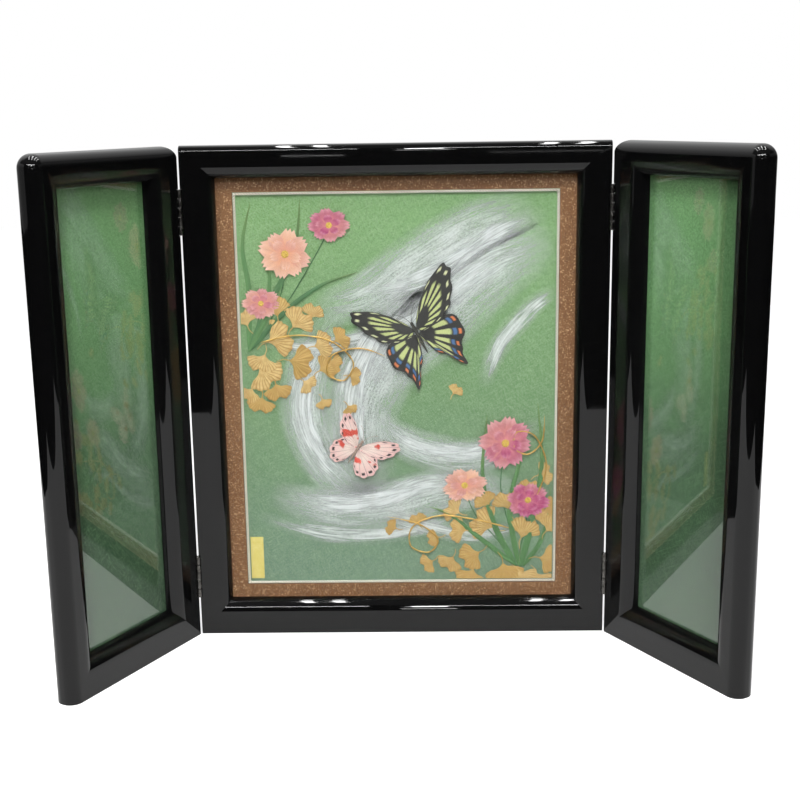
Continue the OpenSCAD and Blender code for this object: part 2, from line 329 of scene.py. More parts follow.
def bump(height, strength, distance):
    inputs = {"Height": height, "Strength": strength, "Distance": distance}
    return addNode("ShaderNodeBump", inputs).outputs["Normal"]


def rays(kind):
    return addNode("ShaderNodeLightPath").outputs[kind]


def mixShaders(factor, first, second):
    return addNode("ShaderNodeMixShader", {0: factor, 1: first, 2: second}).outputs[0]


def surface(colour, roughness, normal=None, **more):
    names = {"metallic": "Metallic", "ior": "IOR", "coat": "Coat Weight", "sheen": "Sheen Weight", "alpha": "Alpha",
             "specular": "Specular IOR Level", "clear": "Transmission Weight"}
    inputs = {"Base Color": colour, "Roughness": roughness}
    inputs.update({names[key]: value for key, value in more.items()})
    if normal is not None:
        inputs["Normal"] = normal
    return addNode("ShaderNodeBsdfPrincipled", inputs).outputs[0]


# A material from a recipe, which adds its nodes and returns their last shader
def newMaterial(name, recipe, *choices):
    material = bpy.data.materials.new(name)
    material.use_nodes = True
    startTree(material.node_tree)
    addNode("ShaderNodeOutputMaterial", {"Surface": recipe(*choices)})
    return material


# A group that takes a Vector and some numbers, and puts out what its recipe returns by name
def newGroup(name, recipe, **numbers):
    group = bpy.data.node_groups.new(name, "ShaderNodeTree")
    group.interface.new_socket(name="Vector", in_out="INPUT", socket_type="NodeSocketVector")
    for label, value in numbers.items():
        socket = group.interface.new_socket(name=label, in_out="INPUT", socket_type="NodeSocketFloat")
        socket.default_value = value
    startTree(group)
    entry = addNode("NodeGroupInput").outputs
    made = recipe(*[entry[label] for label in ("Vector", *numbers)])
    for label in made:
        group.interface.new_socket(name=label, in_out="OUTPUT", socket_type="NodeSocketFloat")
    addNode("NodeGroupOutput", made)
    return group


def useGroup(group, vector, **numbers):
    return addNode("ShaderNodeGroup", {"Vector": vector, **numbers}, node_tree=group).outputs


# Fine flecks: a mask of small spots and a softer cloud, for papers and boards
def flecks(vector, size, cover):
    scale = maths("DIVIDE", 1000.0, size)
    low = minus(0.72, times(cover, 0.4))
    mask = spread(noise(vector, scale, 2.0, 0.6), low, plus(low, 0.1))
    return {"Mask": mask, "Cloud": noise(vector, maths("DIVIDE", scale, 18.0), 3.0, 0.55)}


# Long matted fibres in three directions, as in handmade paper
def fibres(vector, length, width):
    mask = 0.0
    for turn in (0.5, -0.9, 1.9):
        spun = parts(mapped(vector, Rotation=(0, turn, 0)))
        along = maths("DIVIDE", times(spun[0], 1000.0), length)
        across = maths("DIVIDE", times(spun[2], 1000.0), width)
        laid = addNode("ShaderNodeCombineXYZ", {"X": along, "Y": turn * 7, "Z": across}).outputs[0]
        mask = maths("MAXIMUM", mask, spread(noise(laid, 1.0, 1.0, 0.4), 0.58, 0.72))
    return {"Mask": mask, "Height": plus(mask, noise(vector, 2600.0))}


# Shallow waves and dust-fine variation of a polished surface
def polish(vector, wave, rough):
    fine = spread(noise(vector, 130.0), 0.3, 0.7, 0.6, 1.4)
    return {"Roughness": times(fine, rough), "Height": times(noise(vector, 14.0, 1.0), wave)}


# Long wood grain along Z
def grain(vector, ring):
    warp = noise(mapped(vector, Scale=(1, 1, 0.06)), 30.0, 3.0)
    across = maths("DIVIDE", times(parts(vector)[0], 6283.0), ring)
    rings = maths("SINE", plus(across, times(warp, 22.0)))
    fine = noise(mapped(vector, Scale=(1, 1, 0.03)), 1300.0)
    return {"Tone": times(plus(rings, 1.0), 0.5), "Pore": spread(fine, 0.55, 0.7)}


flecksGroup = newGroup("flecks", flecks, Size=1.2, Cover=0.35)
fibresGroup = newGroup("fibres", fibres, Length=9.0, Width=0.5)
polishGroup = newGroup("polish", polish, Wave=0.05, Rough=0.05)
grainGroup = newGroup("grain", grain, Ring=5.0)

lacquerFinish = {"dark": (0.0034, 0.0034, 0.0038), "pale": (0.00525, 0.00525, 0.00525), "rough": 0.03,
                 "wave": 0.35, "ior": 1.38}
glassFinish = {"tint": (0.97, 0.985, 0.975), "ior": 1.58, "shadow": (0.96, 0.975, 0.965)}
# The centre's picture glass is treated so that it hardly reflects
quietFinish = {"tint": (0.99, 0.995, 0.99), "ior": 1.1, "shadow": (0.96, 0.975, 0.965)}
picturePaper = {
    "heights": (0.06, 0.36),
    "flecks": 0.45,
    "low": (0.15, 0.23, 0.165),
    "middle": (0.15, 0.255, 0.13),
    "high": (0.2, 0.355, 0.15),
    "fleck": (0.08, 0.18, 0.06),
    "fibre": (0.38, 0.5, 0.33),
}
wingPaper = {
    "heights": (0.1, 0.3),
    "flecks": 0.75,
    "low": (0.028, 0.065, 0.032),
    "middle": (0.036, 0.08, 0.038),
    "high": (0.112, 0.232, 0.095),
    "fleck": (0.012, 0.06, 0.012),
    "fibre": (0.17, 0.29, 0.145),
}
matFinish = {"dark": (0.09, 0.04, 0.018), "base": (0.19, 0.088, 0.036), "light": (0.66, 0.44, 0.25)}
# The cord's last colour is painted shade, laid into the grooves between its strands
cordFinish = {"fresh": (0.97, 0.95, 0.84), "worn": (0.9, 0.87, 0.73), "thread": (0.95, 0.93, 0.86),
              "groove": (0.18, 0.14, 0.09)}
slipFinish = {"dull": (0.66, 0.54, 0.12), "bright": (0.71, 0.6, 0.18), "fibre": (0.82, 0.75, 0.42)}
cardFinish = {"pale": (0.42, 0.36, 0.28), "dark": (0.3, 0.25, 0.18)}


def lacquer(finish):
    place = objectPlace()
    shine = useGroup(polishGroup, place, Wave=finish["wave"], Rough=finish["rough"])
    colour = blend(noise(place, 60.0), finish["dark"], finish["pale"])
    return surface(colour, shine["Roughness"], bump(shine["Height"], 0.03, 0.002), ior=finish["ior"])


# Glass that lets light through to what lies behind it
def glass(finish):
    shine = surface(finish["tint"], 0.0, ior=finish["ior"], clear=1)
    clear = addNode("ShaderNodeBsdfTransparent", {"Color": finish["shadow"]}).outputs[0]
    return mixShaders(rays("Is Shadow Ray"), shine, clear)


# Dyed paper: colour runs with height, with darker flecks and paler fibres laid in it
def dyedPaper(paper, turn=0.0):
    place = mapped(objectPlace(), Rotation=(0, 0, turn))
    spots = useGroup(flecksGroup, place, Size=1.1, Cover=paper["flecks"])
    hairs = useGroup(fibresGroup, place, Length=9.0, Width=0.45)
    drift = times(minus(spots["Cloud"], 0.5), 0.05)
    level = spread(plus(parts(place)[2], drift), *paper["heights"])
    dyed = ramp(level, (0.0, paper["low"]), (0.45, paper["middle"]), (1.0, paper["high"]))
    upper = spread(level, 0.2, 0.9, 0.25, 1.0)
    flecked = blend(times(spots["Mask"], upper, 0.45), dyed, paper["fleck"])
    matted = blend(times(hairs["Mask"], 0.3), flecked, paper["fibre"])
    grit = noise(place, 900.0, 2.0, 0.75)
    pale = blend(spread(grit, 0.54, 0.68, 0.0, 0.4), matted, paper["fibre"])
    colour = blend(spread(grit, 0.46, 0.32, 0.0, 0.42), pale, paper["fleck"])
    return surface(colour, 0.82, bump(plus(hairs["Height"], grit), 0.25, 0.00015), specular=0.25)


def speckledBoard(finish):
    place = objectPlace()
    fine = useGroup(flecksGroup, place, Size=1.15, Cover=0.36)["Mask"]
    coarse = useGroup(flecksGroup, mapped(place, Scale=(1.3, 1, 0.8)), Size=1.7, Cover=0.42)["Mask"]
    base = blend(times(fine, 0.8), finish["base"], finish["light"])
    colour = blend(times(coarse, 0.6), base, finish["dark"])
    return surface(colour, 0.78, bump(plus(fine, coarse), 0.3, 0.0002), specular=0.3)


def cordThread(finish):
    place = objectPlace()
    threads = noise(place, 5200.0)
    worn = blend(spread(noise(place, 90.0), 0.4, 0.75), finish["fresh"], finish["worn"])
    crown = blend(spread(threads, 0.35, 0.7, 0.0, 0.5), worn, finish["thread"])
    # painted shade: the cord darkens where its points lie near its middle, in the grooves between the strands
    colour = blend(spread(attribute("out"), 0.86, 0.6), crown, finish["groove"])
    return surface(colour, 0.55, bump(threads, 0.35, 0.0001), sheen=0.3)


def slipPaper(finish):
    place = objectPlace()
    hairs = useGroup(fibresGroup, place, Length=5.0, Width=0.3)
    gold = blend(spread(noise(place, 220.0, 3.0), 0.3, 0.7), finish["dull"], finish["bright"])
    colour = blend(times(hairs["Mask"], 0.3), gold, finish["fibre"])
    return surface(colour, 0.5, bump(hairs["Height"], 0.2, 0.0001))


def woodBoard(pale, dark, ring, coat=0.0):
    wood = useGroup(grainGroup, objectPlace(), Ring=ring)
    tone = blend(spread(wood["Tone"], 0.0, 1.0, 0.1, 0.8), pale, dark)
    colour = blend(times(wood["Pore"], 0.45), tone, [0.4 * part for part in dark])
    return surface(colour, 0.6, bump(wood["Pore"], 0.25, 0.0002), coat=coat)


def greyBoard(finish):
    spots = useGroup(flecksGroup, objectPlace(), Size=0.7, Cover=0.5)["Mask"]
    return surface(blend(times(spots, 0.5), finish["pale"], finish["dark"]), 0.85, bump(spots, 0.2, 0.0001))


def steel(bright, dull, rough):
    place = objectPlace()
    shine = useGroup(polishGroup, place, Wave=0.1, Rough=rough)
    brushed = noise(mapped(place, Scale=(1, 1, 0.08)), 3500.0)
    colour = blend(spread(noise(place, 320.0, 4.0), 0.5, 0.75), bright, dull)
    roughness = plus(shine["Roughness"], times(brushed, 0.12))
    return surface(colour, roughness, bump(brushed, 0.12, 0.00005), metallic=1.0)


blackLacquer = newMaterial("blackLacquer", lacquer, lacquerFinish)
clearGlass = newMaterial("clearGlass", glass, glassFinish)
quietGlass = newMaterial("quietGlass", glass, quietFinish)
greenPaper = newMaterial("greenPaper", dyedPaper, picturePaper)
speckledMat = newMaterial("speckledMat", speckledBoard, matFinish)
creamCord = newMaterial("creamCord", cordThread, cordFinish)
goldSlip = newMaterial("goldSlip", slipPaper, slipFinish)
backWood = newMaterial("brownBackBoard", woodBoard, (0.2, 0.105, 0.05), (0.115, 0.055, 0.026), 9.0, 0.15)
bareWood = newMaterial("bareWood", woodBoard, (0.62, 0.45, 0.28), (0.47, 0.31, 0.17), 4.0)
greyCard = newMaterial("greyCard", greyBoard, cardFinish)
# The hinges' near-black colour is dark metal made darker still as painted shade, for the shadow they sit in between
# the panels
shadeDarkenedHingeSteel = newMaterial("shadeDarkenedHingeSteel", steel, (0.1, 0.096, 0.09), (0.035, 0.033, 0.03), 0.22)
screwSteel = newMaterial("screwSteel", steel, (0.55, 0.5, 0.42), (0.28, 0.25, 0.2), 0.28)
print("materials made")


# Panels: each is modelled with its left edge at x = 0, its front at y = 0 and its foot at z = 0

screen = {
    "height": 430,
    "thick": 22,
    "sightRound": 11.8,
    "rabbet": 6,
    "backDepth": 19,
    "rebate": 14,
    "edgeRound": 0.4,
    "footRound": 0.8,
    "blunt": 0.3,
    "roundSteps": 20,
    "beyond": 3,
}
centrePanel = {"width": 358, "left": 27.5, "right": 27.5, "bottom": 30.5, "top": 27.5, "topRound": 6}
wingPanel = {"width": 164, "left": 32, "right": 29.5, "bottom": 32, "top": 27.5, "bullnose": 10, "corner": 11}
hinge = {
    "length": 38,
    "levels": (35.5, 356.5),
    "gap": 0.9,
    "proud": 0.4,
    "fold": {"left": 62, "right": 59},
    "knuckles": 5,
    "knuckleRadius": 2.15,
    "knuckleGap": 0.25,
    "pinRadius": 1.1,
    "pinPlay": 0.05,
    "leafWide": 11.5,
    "leafThick": 0.8,
    "leafFace": 0.05,
    "leafCorner": 1.2,
    "recessPlay": 0.2,
}

centrePlace = moved(-centrePanel["width"] / 2, -screen["thick"] / 2, 0)
mirrorX = Matrix.Scale(-1, 4, (1, 0, 0))


# The pin's place on one side, with the wing towards +X
def pinPlace(side):
    reach = (centrePanel["width"] + hinge["gap"]) / 2
    depth = -screen["thick"] / 2 - hinge["proud"]
    return moved(reach, depth, 0) if side == "right" else moved(-reach, depth, 0) @ mirrorX


def turnedPlace(side):
    return pinPlace(side) @ turned(-hinge["fold"][side], "Z")


def wingPlace(side):
    return turnedPlace(side) @ moved(hinge["gap"] / 2, hinge["proud"], 0)


def sightBox(panel, grow=0.0):
    return (panel["left"] - grow, panel["bottom"] - grow,
            panel["width"] - panel["right"] + grow, screen["height"] - panel["top"] + grow)


# The opening's cutter: a rectangle that is pulled back and resized step by step
def openingCutter(panel):
    radius, front = screen["sightRound"], -2
    loops = [(radius, 0)]
    for step in range(1, screen["roundSteps"] + 1):
        angle = math.pi / 2 * step / screen["roundSteps"]
        loops.append((radius * (1 - math.sin(angle)), radius * (1 - math.cos(angle))))
    loops += [(screen["rabbet"], radius), (screen["rabbet"], screen["backDepth"]),
              (screen["rebate"], screen["backDepth"]), (screen["rebate"], screen["thick"] + 2)]
    x0, z0, x1, z1 = sightBox(panel, radius)
    cutter = prism([(x0, z0), (x1, z0), (x1, z1), (x0, z1)], front - screen["beyond"], front)
    middleX, middleZ = (x0 + x1) / 2, (z0 + z1) / 2
    selectFaces(cutter, lambda point: near(front, point.y))
    for grow, depth in loops:
        bpy.ops.mesh.extrude_region_move()
        work = bmesh.from_edit_mesh(cutter.data)
        x0, z0, x1, z1 = sightBox(panel, grow)
        for vertex in work.verts:
            if vertex.select:
                vertex.co = (x1 if vertex.co.x > middleX else x0, depth, z1 if vertex.co.z > middleZ else z0)
        bmesh.update_edit_mesh(cutter.data)
    closeEdit()
    faceOutwards(cutter)
    return cutter


# What the two hinges take out of the wood at one edge; inward is 1 at a left edge and -1 at a right edge
def hingeCutters(edge, inward):
    cutters = []
    pinX = edge - inward * hinge["gap"] / 2
    inner, outer = pinX + inward * (hinge["leafFace"] + hinge["leafThick"]), edge - inward * screen["beyond"]
    play, clear = hinge["recessPlay"], hinge["knuckleGap"]
    for low in hinge["levels"]:
        high = low + hinge["length"]
        cutters.append(block((min(inner, outer), -2, low - play),
                             (max(inner, outer), hinge["leafWide"] - hinge["proud"] + play, high + play)))
        cutters.append(rod(48, hinge["knuckleRadius"] + clear, low - clear, high + clear, pinX, -hinge["proud"]))
    return cutters


def sightCorner(panel, right, top, out=0.0):
    x0, z0, x1, z1 = sightBox(panel, out)
    return Vector((x1 if right else x0, z1 if top else z0))


# The seam between two rails, from inside the opening out past the corner
def seamLine(panel, right, top):
    inside, flat = sightCorner(panel, right, top, -1.0), sightCorner(panel, right, top, screen["sightRound"])
    corner = Vector((panel["width"] if right else 0, screen["height"] if top else 0))
    if "corner" in panel and right and top:
        step = Vector((panel["corner"], panel["corner"]))
        return [inside, flat, corner - step, corner + Vector((1, 1))]
    end = corner - Vector((0, screen["blunt"] if top else -screen["blunt"]))
    return [inside, flat, end + (end - flat).normalized()]


# Each rail's name in the panel, and the two corners, as right and top, whose seams bound it
railCorners = {
    "top": ((False, True), (True, True)),
    "bottom": ((False, False), (True, False)),
    "left": ((False, False), (False, True)),
    "right": ((True, False), (True, True)),
}


def splitIntoRails(panel, whole):
    rails = {}
    for name, (first, second) in railCorners.items():
        outline = seamLine(panel, *first) + seamLine(panel, *second)[::-1]
        rails[name] = copyOf(whole)
        cut(rails[name], prism(outline, -1, screen["thick"] + 1), "INTERSECT")
    bpy.data.objects.remove(whole)
    return rails


# Whether an edge lies in the front or the back face
def onFace(a, b):
    return near(0, a.y, b.y) or near(screen["thick"], a.y, b.y)


def makeCentreWood(panel):
    width, high, thick, beyond = panel["width"], screen["height"], screen["thick"], screen["beyond"]
    slab = block((-beyond, 0, 0), (width + beyond, thick, high))
    roundEdges(slab, panel["topRound"], 12, lambda a, b: onFace(a, b) and near(high, a.z, b.z))
    roundEdges(slab, screen["footRound"], 4, lambda a, b: onFace(a, b) and near(0, a.z, b.z))
    sides = block((0, 0, -beyond), (width, thick, high + beyond))
    roundEdges(sides, screen["edgeRound"], 6, lambda a, b: onFace(a, b) and not near(a.z, b.z))
    cut(slab, sides, "INTERSECT")
    cut(slab, openingCutter(panel))
    for cutter in hingeCutters(0, 1) + hingeCutters(width, -1):
        cut(slab, cutter)
    return splitIntoRails(panel, slab)


def makeWingWood(panel):
    width, high, thick, beyond = panel["width"], screen["height"], screen["thick"], screen["beyond"]
    slab = block((-beyond, 0, 0), (width, thick, high))
    roundEdges(slab, panel["corner"], 22, lambda a, b: near(width, a.x, b.x) and near(high, a.z, b.z))
    roundEdges(slab, panel["bullnose"], 14, lambda a, b: onFace(a, b) and not near(-beyond, a.x, b.x)
               and not near(0, a.z, b.z))
    sides = block((0, 0, -beyond), (width + beyond, thick, high + beyond))
    roundEdges(sides, screen["edgeRound"], 6, lambda a, b: onFace(a, b) and near(0, a.x, b.x))
    cut(slab, sides, "INTERSECT")
    arch = block((0, -beyond, -beyond), (width + beyond, thick + beyond, high))
    roundEdges(arch, panel["corner"], 22, lambda a, b: near(0, a.x, b.x) and near(high, a.z, b.z))
    cut(slab, arch, "INTERSECT")
    cut(slab, openingCutter(panel))
    for cutter in hingeCutters(0, 1):
        cut(slab, cutter)
    return splitIntoRails(panel, slab)


centreRailNodes = {"top": "centre_top_rail", "bottom": "centre_bottom_rail",
                   "left": "centre_left_stile", "right": "centre_right_stile"}
wingRailNodes = {"top": "_top_rail", "bottom": "_bottom_rail", "left": "_hinge_stile", "right": "_outer_stile"}


def placeRail(rail, place, body, node):
    placePiece(rail, place, 25, True, "lacquered_" + node, body, "lacquered_wood", blackLacquer, node)


for name, rail in makeCentreWood(centrePanel).items():
    placeRail(rail, centrePlace, "centre_panel", centreRailNodes[name])
for name, rail in makeWingWood(wingPanel).items():
    for side in wingSides:
        placeRail(copyOf(rail), wingPlace(side), side + "_wing", side + wingRailNodes[name])
    bpy.data.objects.remove(rail)
print("rails made")


# Glass, and the papers, cards and hidden wood, whose packed sheets keep their shape

sheets = {"reach": 5.6, "glassFront": 11.8, "glassBack": 13.8, "edge": 0.35}


def makeGlassSheet(panel, place, body, node, material):
    x0, z0, x1, z1 = sightBox(panel, sheets["reach"])
    sheet = block((x0, sheets["glassFront"], z0), (x1, sheets["glassBack"], z1))
    roundEdges(sheet, sheets["edge"], 2, lambda a, b: True)
    placePiece(sheet, place, 20, True, "clear_" + node, body, "glass", material, node)


makeGlassSheet(centrePanel, centrePlace, "centre_panel", "centre_glass", quietGlass)
paintNode("centre_picture", greenPaper)
paintNode("spacer_strips", bareWood)
paintNode("centre_corner_keys", bareWood)
for side in wingSides:
    makeGlassSheet(wingPanel, wingPlace(side), side + "_wing", side + "_glass", clearGlass)
    turn = math.radians(hinge["fold"][side]) * (-1 if side == "left" else 1)
    paintNode(side + "_picture", newMaterial(side + "WingPaper", dyedPaper, wingPaper, turn))
    paintNode(side + "_backing_card", greyCard)
    paintNode(side + "_corner_keys", bareWood)
print("glass, papers and cards made")


# Mat, cord and slip

mat = {"front": 15, "back": 17, "side": 13.5, "top": 12, "bottom": 11, "bevel": 0.35}
cord = {"pitch": 4.9, "strandRadius": 0.75, "strandOut": 0.53, "sides": 8, "stepsPerTurn": 14, "inset": 1.35,
        "pastCorner": 0.6}
slip = {"width": 11.5, "height": 39, "thick": 0.3, "sideGap": 0.8, "footGap": 2, "cord": 2.6, "border": 0.7,
        "lineWide": 0.25, "lineDeep": 0.12, "edge": 0.08}

openLow = Vector((centrePanel["left"] + mat["side"], mat["back"], centrePanel["bottom"] + mat["bottom"]))
openHigh = Vector((centrePanel["width"] - centrePanel["right"] - mat["side"], mat["back"],
                   screen["height"] - centrePanel["top"] - mat["top"]))


def makeMat():
    x0, z0, x1, z1 = sightBox(centrePanel, sheets["reach"])
    board = block((x0, mat["front"], z0), (x1, mat["back"], z1))
    cut(board, block((openLow.x, mat["front"] - 2, openLow.z), (openHigh.x, mat["back"] + 2, openHigh.z)))
    onWindow = lambda p: openLow.x - 0.1 < p.x < openHigh.x + 0.1 and openLow.z - 0.1 < p.z < openHigh.z + 0.1
    roundEdges(board, mat["bevel"], 3, lambda a, b: near(mat["front"], a.y, b.y) and onWindow(a) and onWindow(b))
    placePiece(board, centrePlace, 25, True, "speckled_mat", "centre_panel", "mat_board", speckledMat, "mat")


# One twisted run along Z: two round strands screwed about the run's own middle
def twistedRun(length):
    run = joined([primitive(bpy.ops.mesh.primitive_circle_add, vertices=cord["sides"], radius=cord["strandRadius"],
                            fill_type="NGON", location=(side * cord["strandOut"], 0, 0)) for side in (-1, 1)])
    turns = max(1, round(length / cord["pitch"]))
    steps = turns * cord["stepsPerTurn"]
    applyModifier(run, "SCREW", axis="Z", screw_offset=length, angle=2 * math.pi * turns, steps=steps,
                  render_steps=steps, use_merge_vertices=False, use_smooth_shade=True)
    openForEdit(run)
    bpy.ops.mesh.select_non_manifold()
    bpy.ops.mesh.fill_holes(sides=0)
    closeEdit()
    faceOutwards(run)
    # How far each point lies out from the cord's middle; the cord's material paints shade into the grooves by it
    out = run.data.attributes.new("out", "FLOAT", "POINT")
    for vertex, item in zip(run.data.vertices, out.data):
        item.value = math.hypot(vertex.co.x, vertex.co.y) / (cord["strandRadius"] + cord["strandOut"])
    return run


def makeCord():
    inset, past = cord["inset"], cord["pastCorner"]
    low, high = openLow + Vector((inset, -inset, inset)), openHigh + Vector((-inset, -inset, -inset))
    upright = [moved(x, low.y, low.z - past) for x in (low.x, high.x)]
    lying = [moved(low.x - past, low.y, z) @ turned(90, "Y") for z in (low.z, high.z)]
    runs = []
    for long, places in ((high.z - low.z, upright), (high.x - low.x, lying)):
        pattern = twistedRun(long + 2 * past)
        for place in places:
            runs.append(copyOf(pattern))
            runs[-1].data.transform(place)
        bpy.data.objects.remove(pattern)
    placePiece(joined(runs), centrePlace, 60, False, "twisted_mat_cord", "centre_panel", "twisted_cord", creamCord,
               "mat_cord")


def makeSlip():
    low = Vector((openLow.x + slip["cord"] + slip["sideGap"], mat["back"] - slip["thick"],
                  openLow.z + slip["cord"] + slip["footGap"]))
    high = low + Vector((slip["width"], slip["thick"], slip["height"]))
    paper = block(low, high)
    selectFaces(paper, lambda point: near(low.y, point.y))
    # a pressed line all round, inside the slip's edge
    bpy.ops.mesh.inset(thickness=slip["border"])
    for deep in (-slip["lineDeep"], slip["lineDeep"]):
        bpy.ops.mesh.inset(thickness=slip["lineWide"], depth=deep)
    closeEdit()
    onRim = lambda p: near(low.x, p.x) or near(high.x, p.x) or near(low.z, p.z) or near(high.z, p.z)
    roundEdges(paper, slip["edge"], 2, lambda a, b: near(low.y, a.y, b.y) and onRim(a) and onRim(b))
    placePiece(paper, centrePlace, 30, False, "blank_title_slip", "centre_panel", "slip_paper", goldSlip,
               "title_slip")


makeMat()
makeCord()
makeSlip()
print("mat, cord and slip made")


# Picture: laid-on mist, pressed blossoms, gold leaves and two butterflies.
# Places are in the centre panel's own millimetres; the paper's face is at depth 17, the glass ends at 13.8

picture = {
    "seed": 11,
    "mistDepth": 16.85,
    "stemDepth": 16.3,
    "leafDepth": 16.2,
    "curlDepth": 15.5,
    "bloomDepth": 15.4,
    "butterflyDepth": 15.3,
    "mistSteps": (44, 8),
    "sheetThick": 0.12,
    "window": ((44.2, 313.8), (44.7, 387.3)),
    "fanSize": 1.2,
}
luck = random.Random(picture["seed"])


# A smooth path through a few points, at part t of its length
def onPath(points, t):
    last = len(points) - 1
    at = min(max(t, 0.0), 1.0) * last
    index = min(int(at), last - 1)
    part = at - index
    four = (points[max(index - 1, 0)], points[index], points[index + 1], points[min(index + 2, last)])
    return [0.5 * (2 * b + (c - a) * part + (2 * a - 5 * b + 4 * c - d) * part ** 2
                   + (3 * b - a - 3 * c + d) * part ** 3) for a, b, c, d in zip(*four)]


# A point beside a path: part t of its length, and out to one side
def besidePath(points, t, out):
    ahead, behind = Vector(onPath(points, t + 0.01)), Vector(onPath(points, t - 0.01))
    along = (ahead - behind).normalized()
    return Vector(onPath(points, t)) + Vector((along.y, -along.x)) * out


def setTone(piece, tone):
    layer = piece.data.attributes.get("tone") or piece.data.attributes.new("tone", "FLOAT", "POINT")
    layer.data.foreach_set("value", [tone] * len(piece.data.vertices))


# A grid whose points are laid by shape(t along 0..1, s across -1..1)
def shapedGrid(alongSteps, acrossSteps, shape, tone=0.5):
    piece = primitive(bpy.ops.mesh.primitive_grid_add, x_subdivisions=alongSteps, y_subdivisions=acrossSteps, size=1)
    movePoints(piece, [shape(vertex.co.x + 0.5, vertex.co.y * 2) for vertex in piece.data.vertices])
    setTone(piece, tone)
    return piece


def laidCopy(pattern, x, z, depth, turn, size=1.0, squash=1.0, tone=0.5):
    twin = copyOf(pattern)
    twin.data.transform(moved(x, depth, z) @ turned(turn, "Y") @ Matrix.Diagonal((size * squash, size, size, 1)))
    setTone(twin, tone)
    return twin


# Sheets are cut off where they would pass under the cord
def trimToWindow(art):
    for axis, limits in zip((0, 2), picture["window"]):
        for sign, limit in zip((-1, 1), limits):
            spot, out = Vector(), Vector()
            spot[axis], out[axis] = limit, sign
            openForEdit(art, everything=True)
            bpy.ops.mesh.bisect(plane_co=spot, plane_no=out, clear_outer=True)
            closeEdit()


def finishArt(pieces, name, material, thick=None, trim=False):
    art = joined(pieces)
    if trim:
        trimToWindow(art)
    if thick:
        faceOutwards(art, 1e-4)
        applyModifier(art, "SOLIDIFY", thickness=thick, offset=0)
    placePiece(art, centrePlace, 40, False, name, "centre_panel", "picture_paper", material)


# A strip along a path, as wide as width(t), its middle raised by rise
def strip(points, steps, width, depth, rise=0.0, tone=0.5):
    def shape(t, s):
        spot = besidePath(points, t, s * width(t) / 2)
        return (spot.x, depth - rise * (1 - abs(s)) * min(1, width(t)), spot.y)
    return shapedGrid(*steps, shape, tone)


# A closed round form along a path; radius(t, angle) may swell or twist
def tubeAlong(points, steps, radius, depth, flat=1.0, tone=0.5):
    def shape(t, s):
        angle = math.pi * s
        reach = radius(t, angle)
        spot = besidePath(points, t, reach * math.cos(angle))
        return (spot.x, depth - reach * flat * math.sin(angle), spot.y)
    tube = shapedGrid(*steps, shape, tone)
    faceOutwards(tube, 1e-4)
    return tube


# Each band's path, width and softness, from 0 for combed strands to 1 for a thin veil
mistPaths = [
    ([(315, 352), (262, 330), (212, 290), (168, 250), (140, 214)], 74, 1.0),
    ([(300, 378), (250, 362), (196, 330), (150, 300), (104, 290)], 46, 0.9),
    ([(236, 300), (184, 262), (150, 214), (146, 168), (164, 128)], 62, 1.0),
    ([(130, 290), (104, 246), (98, 196), (116, 150), (150, 118)], 44, 0.9),
    ([(60, 126), (118, 112), (176, 116), (236, 128), (300, 120)], 44, 1.0),
    ([(150, 196), (196, 166), (246, 158), (296, 176)], 34, 0.8),
    ([(313, 374), (268, 356), (222, 326), (176, 308), (124, 304)], 22, 0.25),
    ([(316, 344), (268, 332), (222, 302), (184, 264), (160, 226)], 34, 0.3),
    ([(262, 322), (206, 288), (150, 264), (96, 258), (50, 270)], 20, 0.35),
    ([(196, 306), (156, 262), (136, 216), (140, 172), (168, 136)], 36, 0.2),
    ([(124, 272), (98, 232), (94, 190), (114, 150), (152, 122)], 24, 0.3),
    ([(150, 206), (186, 172), (232, 160), (276, 172), (314, 196)], 22, 0.25),
    ([(66, 132), (112, 116), (160, 118), (206, 134), (252, 128)], 28, 0.2),
    ([(47, 108), (92, 92), (142, 86), (196, 92), (236, 108)], 18, 0.3),
    ([(150, 112), (196, 96), (246, 86), (298, 96)], 18, 0.4),
    ([(316, 306), (292, 288), (266, 256), (252, 218)], 20, 0.4),
    ([(300, 360), (246, 338), (206, 300), (178, 258)], 9, 0.0),
    ([(214, 318), (172, 276), (148, 230), (146, 182), (160, 146)], 8, 0.0),
    ([(120, 258), (104, 224), (102, 188), (118, 156)], 7, 0.0),
    ([(86, 124), (130, 120), (176, 126), (222, 136)], 8, 0.0),
    ([(176, 174), (216, 162), (262, 168), (300, 184)], 7, 0.0),
]


def makeMist():
    bands = []
    for index, (points, wide, soft) in enumerate(mistPaths):
        swell = lambda t: 1.2 * wide * (0.45 + 0.55 * math.sin(math.pi * min(max(t, 0), 1)) ** 0.7)
        band = strip(points, picture["mistSteps"], swell, picture["mistDepth"] - 0.02 * index, 0.0, soft)
        long = sum((Vector(b) - Vector(a)).length for a, b in zip(points, points[1:]))
        fade = band.data.attributes.new("fade", "FLOAT", "POINT")
        for loop, corner in zip(band.data.loops, band.data.uv_layers.active.data):
            t, s = corner.uv
            fade.data[loop.vertex_index].value = max(0, min(1, t * 4, (1 - t) * 4) * (1 - (s * 2 - 1) ** 2))
            corner.uv = (t * long + index * 400, s * wide)
        bands.append(band)
    finishArt(bands, "laid_mist_fibres", mistFibre, trim=True)


def petalPattern(long, wide, teeth, cup):
    def shape(t, s):
        half = wide / 2 * (0.16 + 0.84 * math.sin(math.pi / 2 * min(1, t * 1.15)) ** 0.9)
        half *= 1 - 0.3 * max(0, (t - 0.72) / 0.28) ** 2
        notch = long * 0.07 * max(0, t - 0.6) / 0.4 * math.cos(teeth * math.pi * s)
        fold = cup * (s * s) * t - 0.18 * math.cos(teeth * math.pi * s) * t
        return (s * half, fold - 0.7 * t * (1 - t), t * long * (1 - 0.06 * s * s) + notch)
    return shapedGrid(12, 12, shape)


